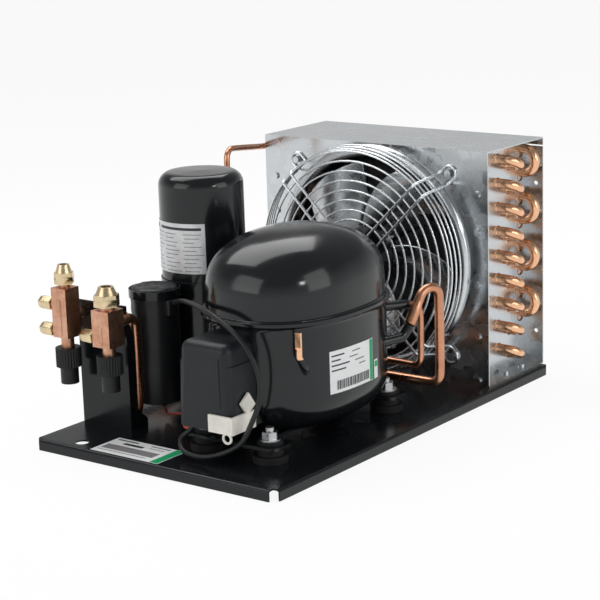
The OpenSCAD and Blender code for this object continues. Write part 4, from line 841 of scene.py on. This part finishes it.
def boot_moulding():
    """The capacitor's soft boot, pleated more and more towards its folded top."""
    bm = bmesh.new()
    rings = []
    for i, (z, r) in enumerate(BOOT_LEVELS):
        made = bmesh.ops.create_circle(bm, segments=96, radius=1)
        fold = max(0.0, (z - 78) / 36) * min(1.0, r / 12)
        for v in made["verts"]:
            q = atan2(v.co.y, v.co.x)
            pleat = (0.32 * sin(q * 7 + z * 0.06) + 0.22 * sin(q * 13 + 1.7 + z * 0.11)
                     + 0.14 * sin(q * 3 + z * 0.2))
            reach = r + fold * pleat - (0.35 * fold if i > 5 else 0)
            crease = 0.5 * fold * sin(q * 5 + i * 1.3) if z > 111 else 0.0
            v.co = mm(BOOT[0] + reach * v.co.x, BOOT[1] + reach * v.co.y,
                      BOOT_FOOT + z - max(0.0, crease))
        rings.append(ring_edges(made))
    bridged(bm, rings, rings[-1])
    piece(bm, "boot_moulding", "boot_rubber", ("capacitor_boot",), smooth=60)


RELIEF_SIZE, RELIEF_ROUND = (8.5, 13, 16), 2.6 * MM
RELIEF_AT, RELIEF_TURN = (25.2, 0, 124.3), radians(-12)


def boot_relief():
    """The block on the boot's side that the lead leaves from."""
    bm = bmesh.new()
    bmesh.ops.create_cube(bm, size=1)
    bmesh.ops.scale(bm, verts=bm.verts, vec=mm(*RELIEF_SIZE))
    bmesh.ops.bevel(bm, geom=bm.edges[:], offset=RELIEF_ROUND, segments=4, profile=0.5,
                    affect="EDGES", material=-1)
    bmesh.ops.translate(bm, verts=bm.verts, vec=mm(*RELIEF_AT))
    turn = Matrix.Rotation(RELIEF_TURN, 3, "Z")
    bmesh.ops.rotate(bm, verts=bm.verts, cent=(0, 0, 0), matrix=turn)
    bmesh.ops.translate(bm, verts=bm.verts, vec=mm(*BOOT, 0))
    bmesh.ops.recalc_face_normals(bm, faces=bm.faces)
    piece(bm, "boot_cable_relief", "boot_rubber")


class CONDENSING_OT_receiver(bpy.types.Operator):
    """Finishes the receiver, and moulds the capacitor's boot with its folded top and leads"""

    bl_idname = "condensing.receiver"
    bl_label = "Receiver and capacitor"

    def execute(self, context):
        for node, name in (("receiver_shell", "shell_paint"), ("receiver_foot", "black_paint"),
                           ("capacitor_strap", "shell_paint")):
            finer(smoothed(node, name))
        for route, radius, node, name in ((LEAD_ROUTE, 2.4, "capacitor_lead", "lead_rubber"),
                                          (WIRE_ROUTE, 1.5, "capacitor_wire", "red_sleeve")):
            bm = bmesh.new()
            path = eased([mm(x + BASE_X, y, z) for x, y, z in route])
            swept(bm, path, radius * MM, 16)
            sleeve = piece(bm, node + "_sleeve", name, (node,), smooth=80)
            length = sum((b - a).length for a, b in zip(path, path[1:]))
            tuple(path[0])
        boot_moulding()
        boot_relief()
        paint_nodes("can_plastic", "capacitor_can")
        return {"FINISHED"}


# A port cap's radii along its length, both as shares, and the ribs on the two valve bodies

PORT_CAP = ((0.0, 0.9), (0.05, 1.03), (0.62, 1.03), (0.8, 0.92), (0.93, 0.74), (1.0, 0.5))
BODY_RIBS = ((-138, -196.6, 101.5, 136, 2.6), (-84.8, -198, 99, 118, 2.2))


class CONDENSING_OT_valves(bpy.types.Operator):
    """Finishes the tray, the bracket and the two service valves"""

    bl_idname = "condensing.valves"
    bl_label = "Tray and valves"

    def execute(self, context):
        for node in ("base_tray", "valve_bracket"):
            finer(smoothed(node, "black_paint"))
        for side in ("liquid", "suction"):
            softer(smoothed(side + "_valve_body", "forged_bronze", flat=True), 0.9)
            finer(smoothed(side + "_flare_nut", "brass_stock", 30, side + "_nut"))
            finer(smoothed(side + "_stem_cap", "cap_plastic", 30, side + "_cap"))
            paint_nodes("brass_stock", side + "_valve_stem")
        for node, body in (("liquid_upper_port_cap", "liquid_upper_cap"),
                           ("liquid_lower_port_cap", "liquid_lower_cap"),
                           ("suction_port_cap", "suction_side_cap")):
            low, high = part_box(node)
            at = middle(node)
            bm = bmesh.new()
            rings = []
            reach = (high.z - low.z) / 2
            for share, radius in PORT_CAP:
                spot = Matrix.Translation((high.x + (low.x - high.x) * share, at.y, at.z))
                spot @= Matrix.Rotation(radians(-90), 4, "Y") @ Matrix.Rotation(radians(20), 4, "Z")
                made = bmesh.ops.create_circle(bm, segments=6, radius=reach * radius, matrix=spot)
                rings.append(ring_edges(made))
            bridged(bm, rings, rings[0], rings[-1])
            softer(piece(bm, node + "_hexagon", "brass_stock", (node,), body, 20), 0.5, 15)
        bm = bmesh.new()
        for x, y, foot, top, radius in BODY_RIBS:
            x += BASE_X
            swept(bm, [mm(x, y + 1.2, foot), mm(x, y, foot + 3), mm(x, y, top - 3), mm(x, y + 1.2, top)],
                  radius * MM, 16)
        piece(bm, "valve_body_ribs", "forged_bronze")
        return {"FINISHED"}


class CONDENSING_OT_pipework(bpy.types.Operator):
    """Rounds the copper lines"""

    bl_idname = "condensing.pipework"
    bl_label = "Pipework"

    def execute(self, context):
        for node in ("suction_line", "liquid_line", "discharge_line", "condenser_outlet_line"):
            rounder(smoothed(node, "copper_tube", 50))
        return {"FINISHED"}


# The coil's rows: their depth, their top tube's height and their number of tubes

COIL_ROWS = ((177.6, 235.2, 9), (199.25, 225.2, 9), (220.9, 235.2, 8))
COIL_PITCH, TUBE_R, COLLAR_FOOT = 24.64, 4.78, 117.4
FIN_COUNT, FIN_WAVES, FIN_WAVE, FIN_THICK = 92, 18, 0.35 * MM, 0.14 * MM


def tube_collars():
    """The collars of the tube sheets round the coil's tubes."""
    bm = bmesh.new()
    rise = sizes().collar / MM
    steps = ((COLLAR_FOOT, TUBE_R), (117.6, 4.8 + rise), (118.5, 4.85 + rise * 0.8), (119.6, TUBE_R))
    for side in (-1, 1):
        for y, top, count in COIL_ROWS:
            for i in range(count):
                rings = []
                for out, radius in steps:
                    spot = Matrix.Translation(mm(BASE_X + side * out, y, top - COIL_PITCH * i))
                    spot @= Matrix.Rotation(radians(90), 4, "Y")
                    rings.append(ring_edges(bmesh.ops.create_circle(
                        bm, segments=20, radius=radius * MM, matrix=spot)))
                for first, second in zip(rings, rings[1:]):
                    bmesh.ops.bridge_loops(bm, edges=first + second)
    bmesh.ops.recalc_face_normals(bm, faces=bm.faces)
    piece(bm, "tube_collars", "return_copper")


def fin_stack():
    """The pack of thin waved fins."""
    low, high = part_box("fin_pack")
    bm = bmesh.new()
    step = (high.x - low.x) / FIN_COUNT
    for i in range(FIN_COUNT + 1):
        made = bmesh.ops.create_grid(bm, x_segments=1, y_segments=FIN_WAVES, size=0.5)
        for v in made["verts"]:
            y = low.y + (high.y - low.y) * (v.co.y + 0.5)
            z = low.z + (high.z - low.z) * (v.co.x + 0.5)
            wave = FIN_WAVE if round((v.co.y + 0.5) * FIN_WAVES) % 2 else -FIN_WAVE
            v.co = Vector((low.x + step * i + wave, y, z))
    bmesh.ops.recalc_face_normals(bm, faces=bm.faces)
    bmesh.ops.solidify(bm, geom=bm.faces[:], thickness=FIN_THICK)
    piece(bm, "fin_stack", "fin_sheet", ("fin_pack",), smooth=20)


class CONDENSING_OT_condenser(bpy.types.Operator):
    """Finishes the casing, and builds the thin fins and the collars of the coil"""

    bl_idname = "condensing.condenser"
    bl_label = "Condenser"

    def execute(self, context):
        for node in ("fan_shroud", "tube_sheet_right", "tube_sheet_left", "panel_screws"):
            finer(smoothed(node, "galvanised", 30))
        finer(smoothed("return_bends", "return_copper", 50))
        finer(smoothed("coil_tubes", "return_copper", 50))
        tube_collars()
        fin_stack()
        return {"FINISHED"}


FAN_Z, GUARD_Y = 132.8, 89.6
RING_OUT, RING_GAP, FACE_RINGS = 114.4, 10, 8
SIDE_FOOT, SIDE_FLARE, SIDE_DEEP, SIDE_RINGS = 114.3, 8.8, 35.3, (0.14, 0.3, 0.46)
ARM_HALF_GAP, ARM_BEND = 7.2, 6
ARM_STEPS = ((34.9, 88), (115.9, 88), (124.7, 124.9), (133.2, 124.9))
RING_TURNS, WIRE_SIDES = 96, 12


def spun_ring(bm, radius, y):
    """A round wire ring about the fan's axis."""
    centre = mm(BASE_X, y, FAN_Z)
    made = bmesh.ops.create_circle(bm, segments=WIRE_SIDES, radius=sizes().ring_wire,
                                   matrix=Matrix.Translation(centre + mm(radius, 0, 0)))
    bmesh.ops.spin(bm, geom=made["verts"] + ring_edges(made), cent=centre, axis=(0, 1, 0),
                   angle=2 * pi, steps=RING_TURNS, use_merge=True)


def guard_rings():
    """The rings of the guard's face and of its flared side."""
    bm = bmesh.new()
    for i in range(FACE_RINGS):
        spun_ring(bm, RING_OUT - RING_GAP * i, GUARD_Y)
    for share in SIDE_RINGS:
        spun_ring(bm, SIDE_FOOT + SIDE_FLARE * share, GUARD_Y + SIDE_DEEP * share)
    bmesh.ops.recalc_face_normals(bm, faces=bm.faces)
    piece(bm, "guard_rings", "bright_wire", ("fan_guard",))


def guard_arms():
    """Four arms, each one wire that runs out, round a screw's eye and back."""
    half = corner_points([mm(x, y, ARM_HALF_GAP) for x, y in ARM_STEPS], ARM_BEND * MM, 8)
    x, y = ARM_STEPS[-1]
    eye = [mm(x + ARM_HALF_GAP * cos(radians(a)), y, ARM_HALF_GAP * sin(radians(a)))
           for a in range(75, -90, -15)]
    back = [Vector((p.x, p.y, -p.z)) for p in reversed(half)]
    bm = bmesh.new()
    for a in (45, 135, 225, 315):
        arm = bmesh.new()
        swept(arm, half + eye + back, sizes().arm_wire, WIRE_SIDES)
        turn = Matrix.Rotation(radians(a), 3, "Y")
        bmesh.ops.rotate(arm, verts=arm.verts, cent=(0, 0, 0), matrix=turn)
        bmesh.ops.translate(arm, verts=arm.verts, vec=mm(BASE_X, 0, FAN_Z))
        held = bpy.data.meshes.new("arm")
        arm.to_mesh(held)
        arm.free()
        bm.from_mesh(held)
        bpy.data.meshes.remove(held)
    piece(bm, "guard_arms", "bright_wire")


class CONDENSING_OT_fan(bpy.types.Operator):
    """Bends the wire guard and finishes the fan"""

    bl_idname = "condensing.fan"
    bl_label = "Fan and guard"

    def execute(self, context):
        guard_rings()
        guard_arms()
        rounder(smoothed("fan_blades", "galvanised", 40, "fan"))
        finer(smoothed("fan_motor", "black_paint"))
        paint_nodes("bare_steel", "fan_shaft")
        return {"FINISHED"}


class CONDENSING_OT_mechanism(bpy.types.Operator):
    """Finishes the motor and the pump inside the shell"""

    bl_idname = "condensing.mechanism"
    bl_label = "Motor and pump"

    def execute(self, context):
        paint_nodes("cast_iron", "stator_stack", "cylinder_block", "cylinder_head")
        paint_nodes("winding_copper", "stator_windings")
        paint_nodes("bare_steel", "rotor", "crankshaft", "piston", "connecting_rod", "suspension_springs")
        return {"FINISHED"}


# Each lamp's name, place, width, height and power, and the spot that all are turned to

LAMPS = (("key_softbox", (-0.62, 0.28, 1.5), 1.9, 1.0, 20),
         ("front_softbox", (-0.7, -2.1, 1.0), 1.6, 1.4, 12),
         ("side_softbox", (2.1, 0.3, 0.9), 1.2, 1.4, 9),
         ("bright_card", (1.9, -0.5, 0.9), 0.24, 0.2, 3))
LAMP_AIM = Vector((0.0, -0.05, 0.1))
LENS, SENSOR = 111.744, 36
CAMERA_AT = (1092.2, -1420.3, 542.6)
CAMERA_TURNS = (37.253, 13.562, -1.816)
FLOOR_HALF = 8


def area_light(name, place, width, height, power):
    """A soft rectangular lamp."""
    data = bpy.data.lights.new(name, "AREA")
    data.shape = "RECTANGLE"
    data.size, data.size_y = width, height
    data.energy = power
    lamp = bpy.data.objects.new(name, data)
    lamp.location = place
    lamp.rotation_euler = (Vector(place) - LAMP_AIM).to_track_quat("Z", "Y").to_euler()
    bpy.context.scene.collection.objects.link(lamp)


def seen_directly(tree):
    """1 for rays from the camera, from a gloss or through glass, 0 for the light on matt surfaces."""
    path = tree.nodes.new("ShaderNodeLightPath")
    total = path.outputs["Is Camera Ray"]
    for other in ("Is Glossy Ray", "Is Transmission Ray"):
        add = tree.nodes.new("ShaderNodeMath")
        add.operation = "MAXIMUM"
        tree.links.new(total, add.inputs[0])
        tree.links.new(path.outputs[other], add.inputs[1])
        total = add.outputs[0]
    return total


def studio_floor(scene):
    """A pale paper floor that the camera and glosses see as nearly white, with its shadow kept."""
    bm = bmesh.new()
    bmesh.ops.create_grid(bm, x_segments=1, y_segments=1, size=FLOOR_HALF)
    data = bpy.data.meshes.new("floor")
    bm.to_mesh(data)
    bm.free()
    floor = bpy.data.objects.new("floor", data)
    scene.collection.objects.link(floor)
    paper = bpy.data.materials.new("studio_paper")
    paper.use_nodes = True
    tree = paper.node_tree
    shader = tree.nodes["Principled BSDF"]
    shader.inputs["Base Color"].default_value = (0.86, 0.86, 0.86, 1)
    shader.inputs["Roughness"].default_value = 0.9
    shader.inputs["Specular IOR Level"].default_value = 0.0
    glow = tree.nodes.new("ShaderNodeEmission")
    glow.inputs["Strength"].default_value = 1.0
    share = tree.nodes.new("ShaderNodeMath")
    share.operation = "MULTIPLY"
    share.inputs[1].default_value = 0.9
    tree.links.new(seen_directly(tree), share.inputs[0])
    mix = tree.nodes.new("ShaderNodeMixShader")
    tree.links.new(share.outputs[0], mix.inputs[0])
    tree.links.new(shader.outputs[0], mix.inputs[1])
    tree.links.new(glow.outputs[0], mix.inputs[2])
    tree.links.new(mix.outputs[0], tree.nodes["Material Output"].inputs["Surface"])
    data.materials.append(paper)


def studio_world(scene):
    """White for the camera, darker overhead for glosses, and a plain half level for matt surfaces."""
    world = bpy.data.worlds.new("studio")
    scene.world = world
    world.use_nodes = True
    tree = world.node_tree
    back = tree.nodes["Background"]
    place = tree.nodes.new("ShaderNodeTexCoord")
    split = tree.nodes.new("ShaderNodeSeparateXYZ")
    tree.links.new(place.outputs["Generated"], split.inputs[0])
    sky = tree.nodes.new("ShaderNodeMapRange")
    for key, value in (("From Min", 0.02), ("From Max", 0.42), ("To Min", 0.8), ("To Max", 0.26)):
        sky.inputs[key].default_value = value
    tree.links.new(split.outputs["Z"], sky.inputs["Value"])
    path = tree.nodes.new("ShaderNodeLightPath")
    direct = tree.nodes.new("ShaderNodeMix")
    tree.links.new(path.outputs["Is Camera Ray"], direct.inputs[0])
    tree.links.new(sky.outputs["Result"], direct.inputs[2])
    direct.inputs[3].default_value = 1.0
    level = tree.nodes.new("ShaderNodeMix")
    level.inputs[2].default_value = 0.5
    tree.links.new(seen_directly(tree), level.inputs[0])
    tree.links.new(direct.outputs[0], level.inputs[3])
    tree.links.new(level.outputs[0], back.inputs["Strength"])
    back.inputs["Color"].default_value = (1, 1, 1, 1)


def photo_camera(scene):
    """The camera at the photograph's viewing angle."""
    eye = bpy.data.cameras.new("photo_camera")
    eye.lens = LENS
    eye.sensor_width = SENSOR
    eye.clip_end = 50
    camera = bpy.data.objects.new("photo_camera", eye)
    scene.collection.objects.link(camera)
    azimuth, rise, roll = (radians(turn) for turn in CAMERA_TURNS)
    back = Vector((sin(azimuth) * cos(rise), -cos(azimuth) * cos(rise), sin(rise)))
    right = Vector((cos(azimuth), sin(azimuth), 0))
    up = back.cross(right)
    turned_right = right * cos(roll) + up * sin(roll)
    turned_up = up * cos(roll) - right * sin(roll)
    camera.matrix_world = placed((turned_right, turned_up, back), mm(*CAMERA_AT))
    scene.camera = camera


class CONDENSING_OT_stage(bpy.types.Operator):
    """Sets the pale floor, the soft lamps and the camera"""

    bl_idname = "condensing.stage"
    bl_label = "Stage"

    def execute(self, context):
        context.scene.view_settings.view_transform = "Standard"
        studio_floor(context.scene)
        studio_world(context.scene)
        for lamp in LAMPS:
            area_light(*lamp)
        photo_camera(context.scene)
        return {"FINISHED"}


class CONDENSING_PT_panel(bpy.types.Panel):
    """Lists the finishes, the sizes and the steps of the condensing unit"""

    bl_label = "Condensing Unit"
    bl_idname = "CONDENSING_PT_panel"
    bl_space_type = "VIEW_3D"
    bl_region_type = "UI"
    bl_category = "Condensing Unit"

    def draw(self, context):
        for settings in (context.scene.condensing_finish, context.scene.condensing_piece):
            box = self.layout.box()
            for name in settings.__annotations__:
                box.prop(settings, name)
        for step in STEPS:
            self.layout.operator(step.bl_idname)


STEPS = (
    CONDENSING_OT_stage,
    CONDENSING_OT_valves,
    CONDENSING_OT_compressor,
    CONDENSING_OT_terminal_box,
    CONDENSING_OT_receiver,
    CONDENSING_OT_labels,
    CONDENSING_OT_pipework,
    CONDENSING_OT_condenser,
    CONDENSING_OT_fan,
    CONDENSING_OT_mechanism,
)
CLASSES = (FinishSettings, PieceSettings, *STEPS, CONDENSING_PT_panel)


def register():
    for each in CLASSES:
        bpy.utils.register_class(each)
    bpy.types.Scene.condensing_finish = bpy.props.PointerProperty(type=FinishSettings)
    bpy.types.Scene.condensing_piece = bpy.props.PointerProperty(type=PieceSettings)


def unregister():
    del bpy.types.Scene.condensing_finish
    del bpy.types.Scene.condensing_piece
    for each in reversed(CLASSES):
        bpy.utils.unregister_class(each)


def main():
    register()
    for step in STEPS:
        group, name = step.bl_idname.split(".")
        getattr(getattr(bpy.ops, group), name)()


if __name__ == "__main__":
    main()
